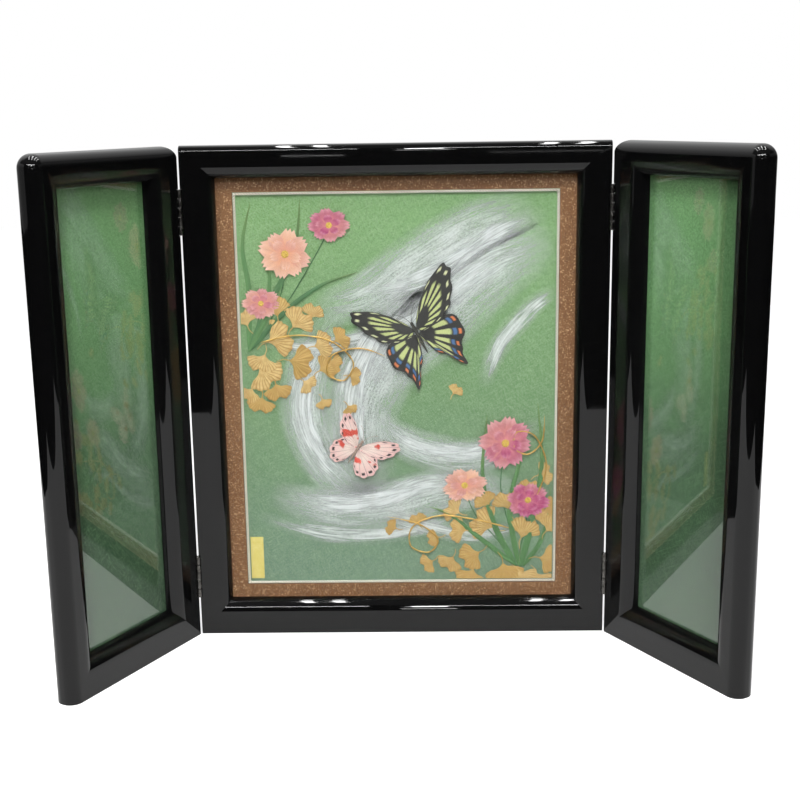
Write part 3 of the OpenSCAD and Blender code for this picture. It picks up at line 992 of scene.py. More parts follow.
# Where each blossom sits, how large, its first petal's turn, its squash to a side view and how pink it is
blossoms = [
    (272, 170, 1.12, 8, 1.0, 0.75),
    (236, 132, 0.95, 30, 0.8, 0.35),
    (292, 118, 0.9, 55, 0.88, 0.95),
    (84, 338, 1.05, 15, 1.0, 0.3),
    (122, 362, 0.86, 40, 0.78, 0.8),
    (62, 296, 0.78, 5, 0.85, 0.6),
]
# The outer and inner petals of a blossom: how many, how long and how far above the first
petalRings = ((8, 1.0, 0.0), (5, 0.62, 0.45))


def makeBlossoms():
    petal = petalPattern(20, 14, 3, -0.5)
    petals, hearts = [], []
    for x, z, size, first, narrow, pink in blossoms:
        for ring, (count, reach, lift) in enumerate(petalRings):
            for index in range(count):
                turn = first + ring * 24 + index * 360 / count + luck.uniform(-5, 5)
                long = size * reach * luck.uniform(0.93, 1.06)
                depth = picture["bloomDepth"] - lift - 0.12 * (index % 2)
                leaf = copyOf(petal)
                lean = Matrix.Diagonal((1, 1, narrow, 1))
                leaf.data.transform(moved(x, depth, z) @ lean @ turned(turn, "Y") @ Matrix.Scale(long, 4))
                setTone(leaf, min(1, max(0, pink + luck.uniform(-0.12, 0.12) + 0.12 * ring)))
                petals.append(leaf)
        hearts.append(makeHeart(x, z, 3.1 * size))
    bpy.data.objects.remove(petal)
    finishArt(petals, "pressed_blossom_petals", petalSilk, picture["sheetThick"], trim=True)
    finishArt(hearts, "blossom_hearts", heartGold)


def makeHeart(x, z, wide):
    def shape(t, s):
        angle = math.pi * s
        bead = 0.12 * math.cos(9 * angle) * math.sin(t * math.pi * 6)
        reach = wide * math.sin(t * math.pi) ** 0.7 * (1 + bead * 0.6)
        rise = 0.75 * math.cos(t * math.pi) + bead * 0.6
        return (x + reach * math.cos(angle), picture["bloomDepth"] - 0.55 - rise * 0.6, z + reach * math.sin(angle))
    heart = shapedGrid(18, 36, shape)
    faceOutwards(heart, 1e-4)
    return heart


# Stems and long blades: path, and width at the foot
stems = [
    ([(272, 166), (268, 130), (276, 92), (284, 58)], 1.1),
    ([(236, 128), (246, 104), (266, 80), (280, 58)], 1.0),
    ([(292, 114), (290, 92), (286, 74), (284, 56)], 1.0),
    ([(84, 334), (80, 306), (68, 278), (52, 256)], 1.1),
    ([(122, 358), (106, 330), (84, 296), (56, 262)], 1.0),
    ([(62, 292), (58, 278), (54, 266), (50, 256)], 0.9),
]
blades = [
    ([(282, 56), (262, 96), (252, 140), (256, 196)], 5.5),
    ([(286, 56), (296, 100), (304, 150), (300, 206)], 6.0),
    ([(280, 58), (248, 84), (224, 104), (206, 112)], 4.5),
    ([(288, 56), (302, 76), (309, 98), (312, 130)], 4.5),
    ([(284, 58), (276, 110), (284, 150), (292, 182)], 5.0),
    ([(50, 256), (72, 300), (92, 340), (98, 384)], 5.5),
    ([(50, 258), (52, 306), (48, 346), (56, 382)], 5.0),
    ([(52, 256), (84, 290), (116, 312), (146, 322)], 4.5),
    ([(50, 254), (66, 286), (70, 320), (66, 352)], 4.5),
]


def makeGreens():
    depth = picture["stemDepth"]
    pieces = []
    for points, wide in stems:
        swell = lambda t, a: wide * (0.35 + 0.2 * t) * min(1, t * 60, (1 - t) * 60)
        pieces.append(tubeAlong(points, (26, 8), swell, depth, 0.6, 0.3))
    for points, wide in blades:
        taper = lambda t: wide * max(0.03, min(1, t * 5 + 0.4) * (1 - max(t, 0) ** 2.4))
        blade = strip(points, (26, 4), taper, depth - luck.uniform(0, 0.25), 0.3, luck.uniform(0.3, 1))
        applyModifier(blade, "SOLIDIFY", thickness=picture["sheetThick"], offset=0)
        pieces.append(blade)
    finishArt(pieces, "pressed_stems_and_blades", bladeGreen)


# A fan leaf: t runs from the stalk's end to the rim, s round the fan
def fanPattern():
    def shape(t, s):
        angle = math.radians(64) * s * (0.5 + 0.5 * min(1, t * 1.6))
        wavy = 1 - 0.12 * s * s + 0.022 * math.cos(21 * s) + 0.014 * math.cos(46 * s)
        rim = 17 * wavy - 4 * math.exp(-(s * 6) ** 2)
        reach = 1.2 + (rim - 1.2) * t
        rise = 0.1 * math.cos(26 * s) * t - 0.5 * math.sin(math.pi * t) * math.cos(angle * 2)
        return (reach * math.sin(angle), rise, reach * math.cos(angle))
    return shapedGrid(9, 44, shape)


# Fan leaves as place, size and turn
fans = [
    (262, 92, 1.1, -60), (250, 70, 1.0, -120), (286, 82, 1.05, 20), (302, 64, 0.95, 100), (270, 60, 1.15, 170),
    (296, 100, 0.85, 55), (238, 90, 0.8, -85), (226, 66, 0.75, -150), (308, 88, 0.8, 40), (284, 52, 0.85, 150),
    (300, 140, 0.7, 70), (258, 112, 0.75, -35), (214, 84, 0.6, -100),
    (66, 262, 1.15, 70), (88, 274, 1.0, 40), (58, 240, 1.05, 140), (84, 246, 1.1, 100), (106, 258, 0.85, 80),
    (50, 276, 0.8, -20), (72, 226, 0.8, 165), (104, 282, 0.7, 20), (118, 244, 0.65, 110), (96, 228, 0.6, 130),
    (176, 92, 0.55, -70), (134, 206, 0.5, 150), (226, 214, 0.5, 35),
    (276, 108, 0.95, -10), (244, 54, 0.9, -160), (264, 48, 0.9, 120), (306, 108, 0.8, 80), (292, 122, 0.75, 10),
    (232, 106, 0.75, -60), (208, 62, 0.6, -120), (196, 96, 0.55, -20), (300, 50, 0.9, 160),
    (60, 214, 0.75, 190), (110, 236, 0.8, 60), (52, 222, 0.7, -150), (76, 284, 0.9, -10), (124, 262, 0.7, 60),
    (136, 232, 0.55, 100), (112, 212, 0.5, 160), (64, 252, 0.9, 200),
]


def makeFans():
    fan = fanPattern()
    pieces = []
    for index, (x, z, size, turn) in enumerate(fans):
        depth = picture["leafDepth"] - 0.12 * (index % 5)
        tone = luck.random()
        pieces.append(laidCopy(fan, x, z, depth, turn, size * picture["fanSize"], luck.uniform(0.85, 1.05), tone))
        away = Vector((math.sin(math.radians(turn)), math.cos(math.radians(turn))))
        foot, side = Vector((x, z)), Vector((away.y, -away.x))
        stalk = [foot + away * 1.5, foot - away * 4 * size, foot - away * 9 * size + side * 2.5 * size]
        pieces.append(strip(stalk, (8, 2), lambda t: 0.9 - 0.4 * max(0, t), depth, 0.1, tone))
    bpy.data.objects.remove(fan)
    finishArt(pieces, "gold_fan_leaves", leafGold, picture["sheetThick"], trim=True)


curls = [
    [(276, 92), (246, 100), (214, 104), (190, 94), (188, 76), (204, 70), (212, 82), (196, 96), (166, 104)],
    [(60, 262), (92, 268), (122, 262), (140, 244), (132, 228), (118, 234), (122, 250), (146, 256), (170, 248)],
    [(300, 122), (308, 150), (298, 176), (282, 180), (280, 166), (292, 160), (304, 172), (306, 196)],
]


def makeCurls():
    twist = lambda t, a: 0.62 * (1 + 0.22 * math.cos(2 * a + 130 * t)) * min(1, t * 40, (1 - t) * 9)
    pieces = [tubeAlong(points, (190, 12), twist, picture["curlDepth"] - 0.2 * index, 0.8)
              for index, points in enumerate(curls)]
    finishArt(pieces, "twisted_gold_curls", curlGold)


# Wings are filled from the root out to a rim; u runs right from the body and v up
darkWings = {
    "fore": ((1.5, 5), [(5, 12), (16, 25), (33, 38), (46, 43), (51, 40), (50, 33), (46, 24), (41, 15), (35, 8),
                        (26, 3), (14, 0), (4, 0)]),
    "hind": ((1.5, 0), [(10, 4), (24, 5), (34, 1), (38, -7), (37, -15), (33, -22), (29, -27), (27, -32), (26.5, -40),
                        (24.5, -43), (22, -41), (17.5, -33.5), (14, -28), (8, -22), (3.5, -12), (1.5, -5)]),
}
paleWings = {
    "fore": ((1.2, 3), [(6, 11), (16, 21), (28, 28), (36, 29), (39, 24), (37, 16), (32, 8), (25, 3), (14, 0),
                        (3, 0)]),
    "hind": ((1.2, 0), [(10, 3), (22, 3), (29, -3), (31, -11), (27, -20), (20, -25), (12, -24), (6, -17),
                        (2, -7)]),
}
# What all butterflies share; the far wing is narrowed to look tilted away
insect = {
    "farWing": -0.86,
    "foreLift": 0.25,
    "foreTone": 0.2,
    "hindTone": 0.8,
    "thick": 0.08,
    "bodyPath": [(0, 12), (0, 4), (0, -6), (0, -20)],
    "bodySwell": [0, 1.3, 1.5, 1.2, 1.9, 2.1, 1.9, 1.4, 1.55, 1.35, 1.4, 1.2, 1.2, 0.95, 0.8, 0.4, 0],
    "feeler": [(0.6, 11), (3, 17), (7, 22), (11, 25)],
}


def wingPattern(root, rim):
    def shape(t, s):
        edge = onPath(rim, s * 0.5 + 0.5)
        ripple = math.cos((s + 1) * 22)
        u, v = [start + (end - start) * t * (1 + 0.025 * ripple * t) for start, end in zip(root, edge)]
        return (u, -math.sin(math.pi * min(1, u / 60) * 0.8) - 0.05 * ripple, v)
    return shapedGrid(20, 56, shape)


# Body, wings and feelers of one butterfly, at a place, size and turn
def makeButterfly(stem, wings, x, z, size, turn, wingMaterial, bodyMaterial):
    leaves, rounds = [], []
    depth = picture["butterflyDepth"]
    for name, (root, rim) in wings.items():
        fore = name == "fore"
        for across in (1, insect["farWing"]):
            wing = wingPattern(root, rim)
            wing.data.transform(Matrix.Diagonal((across, 1, 1, 1)))
            leaves.append(laidCopy(wing, x, z, depth - (insect["foreLift"] if fore else 0), turn, size, 1.0,
                                   insect["foreTone" if fore else "hindTone"]))
            bpy.data.objects.remove(wing)
    finishArt(leaves, stem + "_butterfly_wings", wingMaterial, insect["thick"])
    swell = [(value, 0) for value in insect["bodySwell"]]
    tubes = [(tubeAlong(insect["bodyPath"], (48, 14), lambda t, a: onPath(swell, t)[0], 0, 0.42), 0.35)]
    thin = lambda t, a: (0.2 + 2.5 * max(0, t - 0.88)) * min(1, t * 30, (1 - t) * 30)
    for side in (1, -1):
        tubes.append((tubeAlong([(side * u, v) for u, v in insect["feeler"]], (24, 6), thin, 0, 0.8), 0.3))
    for tube, lift in tubes:
        rounds.append(laidCopy(tube, x, z, depth - lift, turn, size))
        bpy.data.objects.remove(tube)
    finishArt(rounds, stem + "_butterfly_body", bodyMaterial)


# A sheet's own map: first along the sheet, then across it
def sheetPlace():
    return addNode("ShaderNodeUVMap").outputs["UV"]


def mistSilk():
    uv = sheetPlace()
    fine = noise(mapped(uv, Scale=(0.03, 0.75, 1)), 1.0, 4.0, 0.65)
    broad = noise(mapped(uv, Scale=(0.03, 0.16, 1)), 1.0, 3.0, 0.55)
    fluff = noise(mapped(uv, Scale=(0.5, 0.9, 1)), 1.0, 3.0, 0.7)
    fade, soft = attribute("fade"), attribute("tone")
    silk = plus(times(fine, 0.5), times(broad, 0.5))
    limit = spread(fade, 0.0, 1.0, 0.7, 0.28)
    strands = spread(silk, limit, plus(limit, 0.3), 0.0, 0.9, "SMOOTHSTEP")
    haze = plus(times(silk, 0.6), times(fluff, 0.4))
    veil = times(spread(haze, 0.3, 0.62, 0.0, 0.8, "SMOOTHSTEP"), fade)
    cover = plus(times(strands, minus(1.0, soft)), times(veil, soft))
    colour = blend(fine, (0.62, 0.67, 0.66), (0.86, 0.88, 0.88))
    return surface(colour, 0.85, bump(fine, 0.3, 0.0002), alpha=times(cover, spread(fade, 0.0, 0.25)))


def blossomSilk():
    uv = sheetPlace()
    along = parts(uv)[0]
    streak = noise(mapped(uv, Scale=(2.0, 26.0, 1)), 1.0, 3.0, 0.6)
    reach = plus(along, times(minus(streak, 0.5), 0.35))
    peach = ramp(reach, (0.0, (0.62, 0.4, 0.12)), (0.3, (0.8, 0.42, 0.2)), (1.0, (0.86, 0.6, 0.4)))
    pink = ramp(reach, (0.0, (0.55, 0.32, 0.14)), (0.35, (0.5, 0.12, 0.2)), (0.7, (0.36, 0.04, 0.14)),
                (1.0, (0.55, 0.2, 0.3)))
    mixed = blend(attribute("tone"), peach, pink)
    colour = blend(spread(streak, 0.52, 0.7, 0.0, 0.4), mixed, (0.3, 0.05, 0.1))
    return surface(colour, 0.6, bump(streak, 0.3, 0.0003), sheen=0.25)


def fanGold():
    along, across = parts(sheetPlace())[:2]
    veins = maths("ABSOLUTE", maths("SINE", times(across, 41.0)))
    base = blend(attribute("tone"), (0.5, 0.33, 0.1), (0.68, 0.5, 0.22))
    cloud = spread(noise(objectPlace(), 260.0, 3.0), 0.35, 0.7, 0.0, 0.6)
    colour = blend(cloud, base, (0.44, 0.25, 0.07))
    colour = blend(spread(veins, 0.7, 1.0, 0.0, 0.6), colour, (0.33, 0.17, 0.04))
    colour = blend(spread(along, 0.86, 1.0, 0.0, 0.5), colour, (0.4, 0.22, 0.06))
    return surface(colour, 0.48, bump(veins, 0.25, 0.0002), metallic=0.12)


def greenBlade():
    uv = sheetPlace()
    along = parts(uv)[0]
    streak = noise(mapped(uv, Scale=(1.5, 30.0, 1)), 1.0)
    base = blend(attribute("tone"), (0.035, 0.12, 0.045), (0.11, 0.25, 0.08))
    tip = blend(spread(along, 0.6, 1.0, 0.0, 0.6), base, (0.25, 0.33, 0.1))
    colour = blend(spread(streak, 0.4, 0.7, 0.0, 0.6), tip, (0.03, 0.085, 0.035))
    return surface(colour, 0.55, bump(streak, 0.3, 0.0002))


def goldWire():
    glint = noise(objectPlace(), 1500.0)
    colour = blend(glint, (0.42, 0.22, 0.045), (0.78, 0.53, 0.17))
    return surface(colour, 0.34, bump(glint, 0.3, 0.0002), metallic=0.7)


def pollen():
    grains = noise(objectPlace(), 2100.0)
    colour = blend(spread(grains, 0.4, 0.62), (0.4, 0.2, 0.03), (0.82, 0.6, 0.12))
    return surface(colour, 0.7, bump(grains, 0.6, 0.0004))


# Cells between a wing's veins, counted along the rim: 1 in a cell's middle, 0 on a vein
def wingCells(across, count):
    offMiddle = maths("ABSOLUTE", minus(maths("FRACT", times(across, count)), 0.5))
    return minus(1.0, times(offMiddle, 2.0))


def between(value, low, high, soft):
    return times(spread(value, low, low + soft), spread(value, high - soft, high, 1.0, 0.0))


def swallowtail():
    along, across = parts(sheetPlace())[:2]
    hind = spread(attribute("tone"), 0.4, 0.6)
    cells = wingCells(across, 9.0)
    dust = noise(objectPlace(), 1400.0, 3.0)
    inCell = spread(plus(cells, times(dust, 0.3)), 0.5, 0.72)
    black = blend(dust, (0.006, 0.006, 0.007), (0.03, 0.028, 0.024))
    green = blend(dust, (0.34, 0.42, 0.13), (0.62, 0.64, 0.3))
    colour = blend(times(between(along, 0.34, 0.74, 0.06), inCell), black, green)
    colour = blend(times(between(along, 0.74, 0.85, 0.03), inCell, hind), colour, (0.05, 0.13, 0.3))
    rim = blend(hind, (0.62, 0.64, 0.36), (0.62, 0.17, 0.05))
    colour = blend(times(between(along, 0.86, 0.95, 0.03), spread(cells, 0.55, 0.7)), colour, rim)
    return surface(colour, 0.5, bump(dust, 0.25, 0.0002), sheen=0.3)


def blushWing():
    along, across = parts(sheetPlace())[:2]
    place = objectPlace()
    cells = wingCells(across, 8.0)
    dust = noise(place, 1300.0, 3.0)
    patch = spread(noise(place, 95.0), 0.56, 0.62)
    blush = ramp(along, (0.0, (0.5, 0.3, 0.26)), (0.35, (0.78, 0.6, 0.53)), (1.0, (0.7, 0.36, 0.34)))
    colour = blend(times(dust, 0.4), blush, (0.86, 0.8, 0.76))
    colour = blend(times(patch, between(along, 0.25, 0.95, 0.1)), colour, (0.58, 0.06, 0.035))
    colour = blend(spread(cells, 0.0, 0.13, 0.75, 0.0), colour, (0.09, 0.05, 0.045))
    spots = times(between(along, 0.8, 0.93, 0.04), spread(cells, 0.45, 0.6))
    colour = blend(spots, colour, (0.02, 0.015, 0.015))
    return surface(colour, 0.6, bump(dust, 0.25, 0.0002), sheen=0.25)


def velvet(dark, light):
    hair = noise(mapped(objectPlace(), Scale=(1, 1, 0.5)), 1900.0, 3.0)
    return surface(blend(spread(hair, 0.45, 0.7), dark, light), 0.7, bump(hair, 0.5, 0.0003), sheen=0.4)


mistFibre = newMaterial("mistFibre", mistSilk)
petalSilk = newMaterial("petalSilk", blossomSilk)
leafGold = newMaterial("leafGold", fanGold)
bladeGreen = newMaterial("bladeGreen", greenBlade)
curlGold = newMaterial("curlGold", goldWire)
heartGold = newMaterial("heartGold", pollen)
darkWing = newMaterial("darkWing", swallowtail)
paleWing = newMaterial("paleWing", blushWing)
darkVelvet = newMaterial("darkVelvet", velvet, (0.008, 0.008, 0.009), (0.09, 0.085, 0.05))
paleVelvet = newMaterial("paleVelvet", velvet, (0.2, 0.13, 0.1), (0.55, 0.42, 0.34))

makeMist()
makeGreens()
makeFans()
makeBlossoms()
makeCurls()
makeButterfly("dark", darkWings, 196, 268, 1.0, -28, darkWing, darkVelvet)
makeButterfly("pale", paleWings, 142, 166, 0.8, 34, paleWing, paleVelvet)
print("picture made")


# Hinges and screws

screw = {"head": 2.0, "shank": 1.0, "long": 9, "rim": 0.12, "point": 1.5, "slotWide": 0.6, "slotDeep": 0.3,
         "slotReach": 1.24, "sides": 24, "alongLeaf": (0.18, 0.82), "sunk": 0.02, "backSunk": 0.06}


# Head at z = 0 and shank towards +Z
def makeScrew():
    piece = primitive(bpy.ops.mesh.primitive_circle_add, vertices=screw["sides"], radius=screw["head"],
                      fill_type="NGON")
    openForEdit(piece, everything=True)
    sink, rim, point = screw["head"] - screw["shank"], screw["rim"], screw["point"]
    for grow, rise in ((1.0, rim), (screw["shank"] / screw["head"], sink - rim), (1.0, screw["long"] - sink - point),
                       (0.3, point)):
        bpy.ops.mesh.extrude_region_move(TRANSFORM_OT_translate={"value": (0, 0, rise)})
        bpy.ops.transform.resize(value=(grow, grow, 1))
    closeEdit()
    faceOutwards(piece)
    deep, wide, reach = screw["slotDeep"], screw["slotWide"] / 2, screw["slotReach"]
    for x, y in ((wide, reach), (reach, wide)):
        cut(piece, block((-x, -y, -1), (x, y, deep)))
    smooth(piece, 30)
    return piece


# One leaf and its share of the knuckles: the pin's axis along Z through the origin, the wood towards +X
def makeLeaf(first):
    last = hinge["knuckles"] - 1
    high = hinge["length"] / hinge["knuckles"]
    face, thick, radius = hinge["leafFace"], hinge["leafThick"], hinge["knuckleRadius"]
    clear = radius + hinge["knuckleGap"]
    plate = block((face, clear, 0), (face + thick, hinge["leafWide"], hinge["length"]))
    roundEdges(plate, hinge["leafCorner"], 5, lambda a, b: near(hinge["leafWide"], a.y, b.y) and near(a.z, b.z))
    pieces = [plate]
    for index in range(first, hinge["knuckles"], 2):
        low = index * high + (0 if index == 0 else hinge["knuckleGap"] / 2)
        top = (index + 1) * high - (0 if index == last else hinge["knuckleGap"] / 2)
        knuckle = rod(40, radius, low, top)
        roundEdges(knuckle, 0.3, 3, lambda a, b: near(a.z, b.z))
        cut(knuckle, rod(32, hinge["pinRadius"] + hinge["pinPlay"], low - 1, top + 1))
        pieces += [knuckle, block((face, radius * 0.6, low), (face + thick, clear + 0.05, top))]
    for piece in pieces[1:]:
        smooth(piece, 30)
    return joined(pieces)


def makePin():
    pin = rod(32, hinge["pinRadius"], 0, hinge["length"])
    roundEdges(pin, 0.45, 4, lambda a, b: near(a.z, b.z))
    return pin


screwPattern, fixedLeaf, wingLeaf, pinPattern = makeScrew(), makeLeaf(0), makeLeaf(1), makePin()

for side in wingSides:
    for level, low in zip(("lower", "upper"), hinge["levels"]):
        hingeSet = [
            (fixedLeaf, pinPlace(side) @ mirrorX, "centre_panel", f"{side}_{level}_fixed_leaf"),
            (wingLeaf, turnedPlace(side), side + "_wing", f"{side}_{level}_wing_leaf"),
            (pinPattern, pinPlace(side), "centre_panel", f"{side}_{level}_pin"),
        ]
        for pattern, place, body, node in hingeSet:
            placePiece(copyOf(pattern), place @ moved(0, 0, low), 30, False, "steel_" + node, body, "hinge_steel",
                       shadeDarkenedHingeSteel, node)


def screwsAt(places, name, body, node):
    pieces = [settle(copyOf(screwPattern), place) for place in places]
    finishPiece(joined(pieces), name, body, "screw_steel", screwSteel, node)


def leafScrewPlaces(place):
    y = (hinge["leafWide"] + hinge["knuckleRadius"]) / 2
    return [place @ moved(hinge["leafFace"] + screw["sunk"], y, level + part * hinge["length"]) @ turned(90, "Y")
            for level in hinge["levels"] for part in screw["alongLeaf"]]


screwsAt(leafScrewPlaces(pinPlace("left") @ mirrorX) + leafScrewPlaces(pinPlace("right") @ mirrorX),
         "centre_leaf_screw_set", "centre_panel", "centre_leaf_screws")
for side in wingSides:
    screwsAt(leafScrewPlaces(turnedPlace(side)), side + "_leaf_screw_set", side + "_wing", side + "_leaf_screws")


# Back boards, with countersunk holes for their screws

backBoard = {"reach": 13.6, "edge": 0.5, "screwOut": 10, "wide": 260, "wideColumns": (0.1, 0.5, 0.9),
             "slimColumns": (0.2, 0.8), "rows": (0.2, 0.5, 0.8), "sinkFrom": 0.9, "sinkTo": 2.4, "sinkDeep": 1.5,
             "sinkPast": 0.1}


def backScrewSpots(panel):
    x0, z0, x1, z1 = sightBox(panel, backBoard["screwOut"])
    columns = backBoard["wideColumns" if panel["width"] > backBoard["wide"] else "slimColumns"]
    spots = [(x0 + column * (x1 - x0), z) for column in columns for z in (z0, z1)]
    return spots + [(x, z0 + row * (z1 - z0)) for row in backBoard["rows"] for x in (x0, x1)]


def makeBack(panel, place, body, stem):
    x0, z0, x1, z1 = sightBox(panel, backBoard["reach"])
    board = block((x0, screen["backDepth"], z0), (x1, screen["thick"], z1))
    roundEdges(board, backBoard["edge"], 3, lambda a, b: near(screen["thick"], a.y, b.y))
    spots, deep = backScrewSpots(panel), backBoard["sinkDeep"]
    middle = screen["thick"] + backBoard["sinkPast"] - deep / 2
    cut(board, joined([primitive(bpy.ops.mesh.primitive_cone_add, vertices=24, radius1=backBoard["sinkFrom"],
                                 radius2=backBoard["sinkTo"], depth=deep, location=(x, middle, z),
                                 rotation=(math.radians(-90), 0, 0)) for x, z in spots]))
    placePiece(board, place, 30, True, stem + "_wood_back", body, "back_board", backWood, stem + "_back_panel")
    screwsAt([place @ moved(x, screen["thick"] - screw["backSunk"], z) @ turned(90, "X") for x, z in spots],
             stem + "_back_screw_set", body, stem + "_back_screws")


makeBack(centrePanel, centrePlace, "centre_panel", "centre")
for side in wingSides:
    makeBack(wingPanel, wingPlace(side), side + "_wing", side)
for pattern in (screwPattern, fixedLeaf, wingLeaf, pinPattern):
    bpy.data.objects.remove(pattern)
print("hinges, screws and backs made")


# The stage, in metres

stage = {
    "floorFront": -0.87,
    "floorBack": 4.0,
    "floorSide": 3.0,
    "floorColour": (0.8, 0.8, 0.8),
    "floorGlow": 0.85,
    "floorShine": 0.68,
    "worldWhite": 1.0,
    "worldFill": 0.18,
    "tubeCount": 5,
    "tubeGap": 0.34,
    "tubeSize": (0.03, 1.2),
    "tubeHeight": 1.6,
    "tubeMiddle": -0.35,
    "tubeShift": -0.1,
    "tubePower": 0.9,
    "frontPlace": (-0.1, -1.4, 2.05),
    "frontSize": (0.25, 0.06),
    "frontTilt": 40,
    "frontPower": 27,
}
white = (1, 1, 1)


# How much a surface glows, by what kind of ray sees it
def seenGlow(toCamera, toMirror):
    reflected = maths("GREATER_THAN", rays("Is Glossy Ray"), rays("Is Transmission Ray"))
    return maths("MAXIMUM", times(rays("Is Camera Ray"), toCamera), times(reflected, toMirror))


def emission(strength):
    return addNode("ShaderNodeEmission", {"Color": white, "Strength": strength}).outputs[0]


# A flat card; its corners come as (-,-) (+,-) (-,+) (+,+)
def addPlane(name, corners, material):
    plane = primitive(bpy.ops.mesh.primitive_plane_add, size=2)
    plane.name = name
    movePoints(plane, corners)
    plane.data.materials.append(material)
    return plane


def whiteFloor():
    glow = emission(seenGlow(stage["floorGlow"], stage["floorShine"]))
    matte = addNode("ShaderNodeBsdfDiffuse", {"Color": stage["floorColour"]}).outputs[0]
    return addNode("ShaderNodeAddShader", {0: glow, 1: matte}).outputs[0]


def makeFloor():
    side = stage["floorSide"]
    corners = [(x, y, 0) for y in (stage["floorFront"], stage["floorBack"]) for x in (-side, side)]
    addPlane("floor", corners, newMaterial("whiteFloor", whiteFloor))


def makeWorld():
    world = bpy.data.worlds.new("studio")
    bpy.context.scene.world = world
    world.use_nodes = True
    startTree(world.node_tree)
    extra = stage["worldWhite"] - stage["worldFill"]
    strength = plus(seenGlow(extra, extra), stage["worldFill"])
    sky = addNode("ShaderNodeBackground", {"Color": white, "Strength": strength})
    addNode("ShaderNodeOutputWorld", {"Surface": sky.outputs[0]})


# What stands round a polished thing in a room: dim walls and ceiling, with bright fittings in them
room = {
    "front": -2.4,
    "back": 3.9,
    "side": 4.4,
    "high": 2.4,
    "frontFoot": -1.5,
    "tableSide": 0.85,
    "tableHigh": 0.002,
    "frontLevel": 0.01,
    "backLevel": 0.95,
    "ceilingDark": 0.2,
    "ceilingPale": 1.6,
    "ceilingTurn": (0.0, 0.6),
    "ceilingSides": ((-0.23, 1.0), (0.18, 1.25)),
    "ceilingLeast": 0.1,
    "wallFrom": 0.9,
    "leftWall": (0.4, 0.9),
    "rightWall": (0.03, 0.35),
    "fittings": (-0.92, -0.255, 0.365, 1.03),
    "fittingApart": 0.085,
    "fittingWide": 0.03,
    "fittingEnds": (-0.8, 0.5),
    "fittingDrop": 0.02,
    "fittingLevel": 60,
    "bars": ((-1.9, -0.155), (0.067, 1.3)),
    "barPlace": (-2.3, 1.75, 0.05),
    "barLevel": 130,
    "blotches": ((-0.045, 0.105, 0.475, 0.53, 60), (-0.02, 0.085, 1.3, 1.55, 130),
                 (-0.34, -0.18, 0.341, 0.344, 9), (0.2, 0.6, 0.349, 0.352, 4)),
    "blotchDepth": -2.35,
    "strips": ((-0.85, -0.81), (0.85, 0.89)),
    "stripHeights": (0.6, 1.9),
    "stripLevel": 6,
}


# A glow that only lies in what is mirrored, not in what glass lets through
def mirroredGlow(strengthOf):
    glow = emission(strengthOf(parts(objectPlace())))
    clear = addNode("ShaderNodeBsdfTransparent").outputs[0]
    return mixShaders(rays("Is Transmission Ray"), glow, clear)


def evenGlow(level):
    return newMaterial("evenGlow", mirroredGlow, lambda place: level)


# The ceiling is pale behind the screen and dark in front, and dims to both sides
def ceilingStrength(place):
    behind = spread(place[1], *room["ceilingTurn"], room["ceilingDark"], room["ceilingPale"], "SMOOTHSTEP")
    toRight, toLeft = [maths("MULTIPLY_ADD", place[0], *slope) for slope in room["ceilingSides"]]
    return times(behind, maths("MAXIMUM", maths("MINIMUM", toRight, toLeft), room["ceilingLeast"]))


def wallGlow(name, levels):
    heights = (room["wallFrom"], room["high"])
    return newMaterial(name, mirroredGlow, lambda place: spread(place[2], *heights, *levels))


# A card that only reflections see
def addCard(name, corners, material):
    card = addPlane(name, corners, material)
    card.visible_camera = False
    card.visible_diffuse = False
    card.visible_transmission = False
    card.visible_shadow = False


def levelCard(name, x0, x1, y0, y1, z, material):
    addCard(name, [(x, y, z) for y in (y0, y1) for x in (x0, x1)], material)


def uprightCard(name, start, end, z0, z1, material):
    addCard(name, [(*foot, z) for z in (z0, z1) for foot in (start, end)], material)


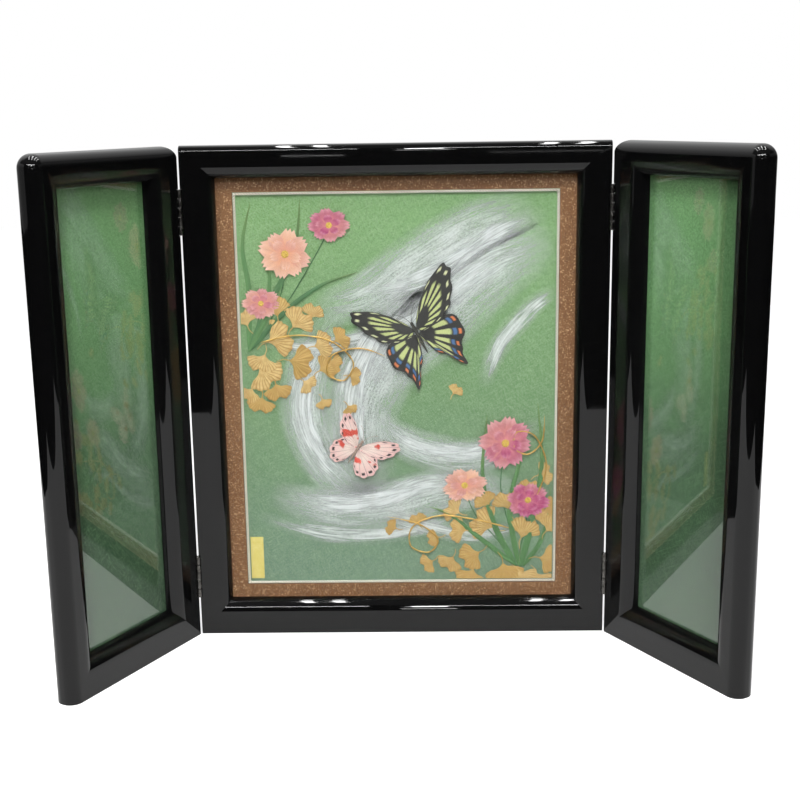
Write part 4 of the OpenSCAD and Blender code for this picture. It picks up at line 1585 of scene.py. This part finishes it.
def makeRoom():
    front, back, side, high = room["front"], room["back"], room["side"], room["high"]
    dim = evenGlow(room["frontLevel"])
    uprightCard("frontCard", (-side, front), (side, front), room["frontFoot"], high, dim)
    uprightCard("backCard", (-side, back), (side, back), 0, high, evenGlow(room["backLevel"]))
    ceiling = newMaterial("ceilingGlow", mirroredGlow, ceilingStrength)
    levelCard("ceilingCard", -side, side, front, back, high, ceiling)
    uprightCard("leftCard", (-side, front), (-side, back), 0, high, wallGlow("leftWallGlow", room["leftWall"]))
    uprightCard("rightCard", (side, front), (side, back), 0, high, wallGlow("rightWallGlow", room["rightWall"]))
    for sign in (-1, 1):
        levelCard("besideTable", sign * room["tableSide"], sign * side, front, back, room["tableHigh"], dim)
    fitting, half, level = evenGlow(room["fittingLevel"]), room["fittingWide"] / 2, high - room["fittingDrop"]
    for x in room["fittings"]:
        for middle in (x - room["fittingApart"] / 2, x + room["fittingApart"] / 2):
            levelCard("fitting", middle - half, middle + half, *room["fittingEnds"], level, fitting)
    y, z, wide = room["barPlace"]
    bar = evenGlow(room["barLevel"])
    for start, end in room["bars"]:
        uprightCard("bar", (start, y), (end, y), z - wide / 2, z + wide / 2, bar)
    for x0, x1, z0, z1, level in room["blotches"]:
        uprightCard("blotch", (x0, room["blotchDepth"]), (x1, room["blotchDepth"]), z0, z1, evenGlow(level))
    strip = evenGlow(room["stripLevel"])
    for start, end in room["strips"]:
        uprightCard("strip", (start, y), (end, y), *room["stripHeights"], strip)


def addLamp(name, place, size, power, tilt=0):
    bpy.ops.object.light_add(type="AREA", location=place, rotation=(math.radians(tilt), 0, 0))
    lamp = bpy.context.object
    lamp.name = name
    lamp.data.shape = "RECTANGLE"
    lamp.data.size, lamp.data.size_y = size
    lamp.data.energy = power
    lamp.visible_camera = False
    lamp.visible_glossy = False


makeFloor()
makeWorld()
makeRoom()
for index in range(stage["tubeCount"]):
    across = (index - (stage["tubeCount"] - 1) / 2) * stage["tubeGap"] + stage["tubeShift"]
    addLamp(f"tube{index}", (across, stage["tubeMiddle"], stage["tubeHeight"]), stage["tubeSize"], stage["tubePower"])
addLamp("frontLamp", stage["frontPlace"], stage["frontSize"], stage["frontPower"], stage["frontTilt"])
print("stage set")
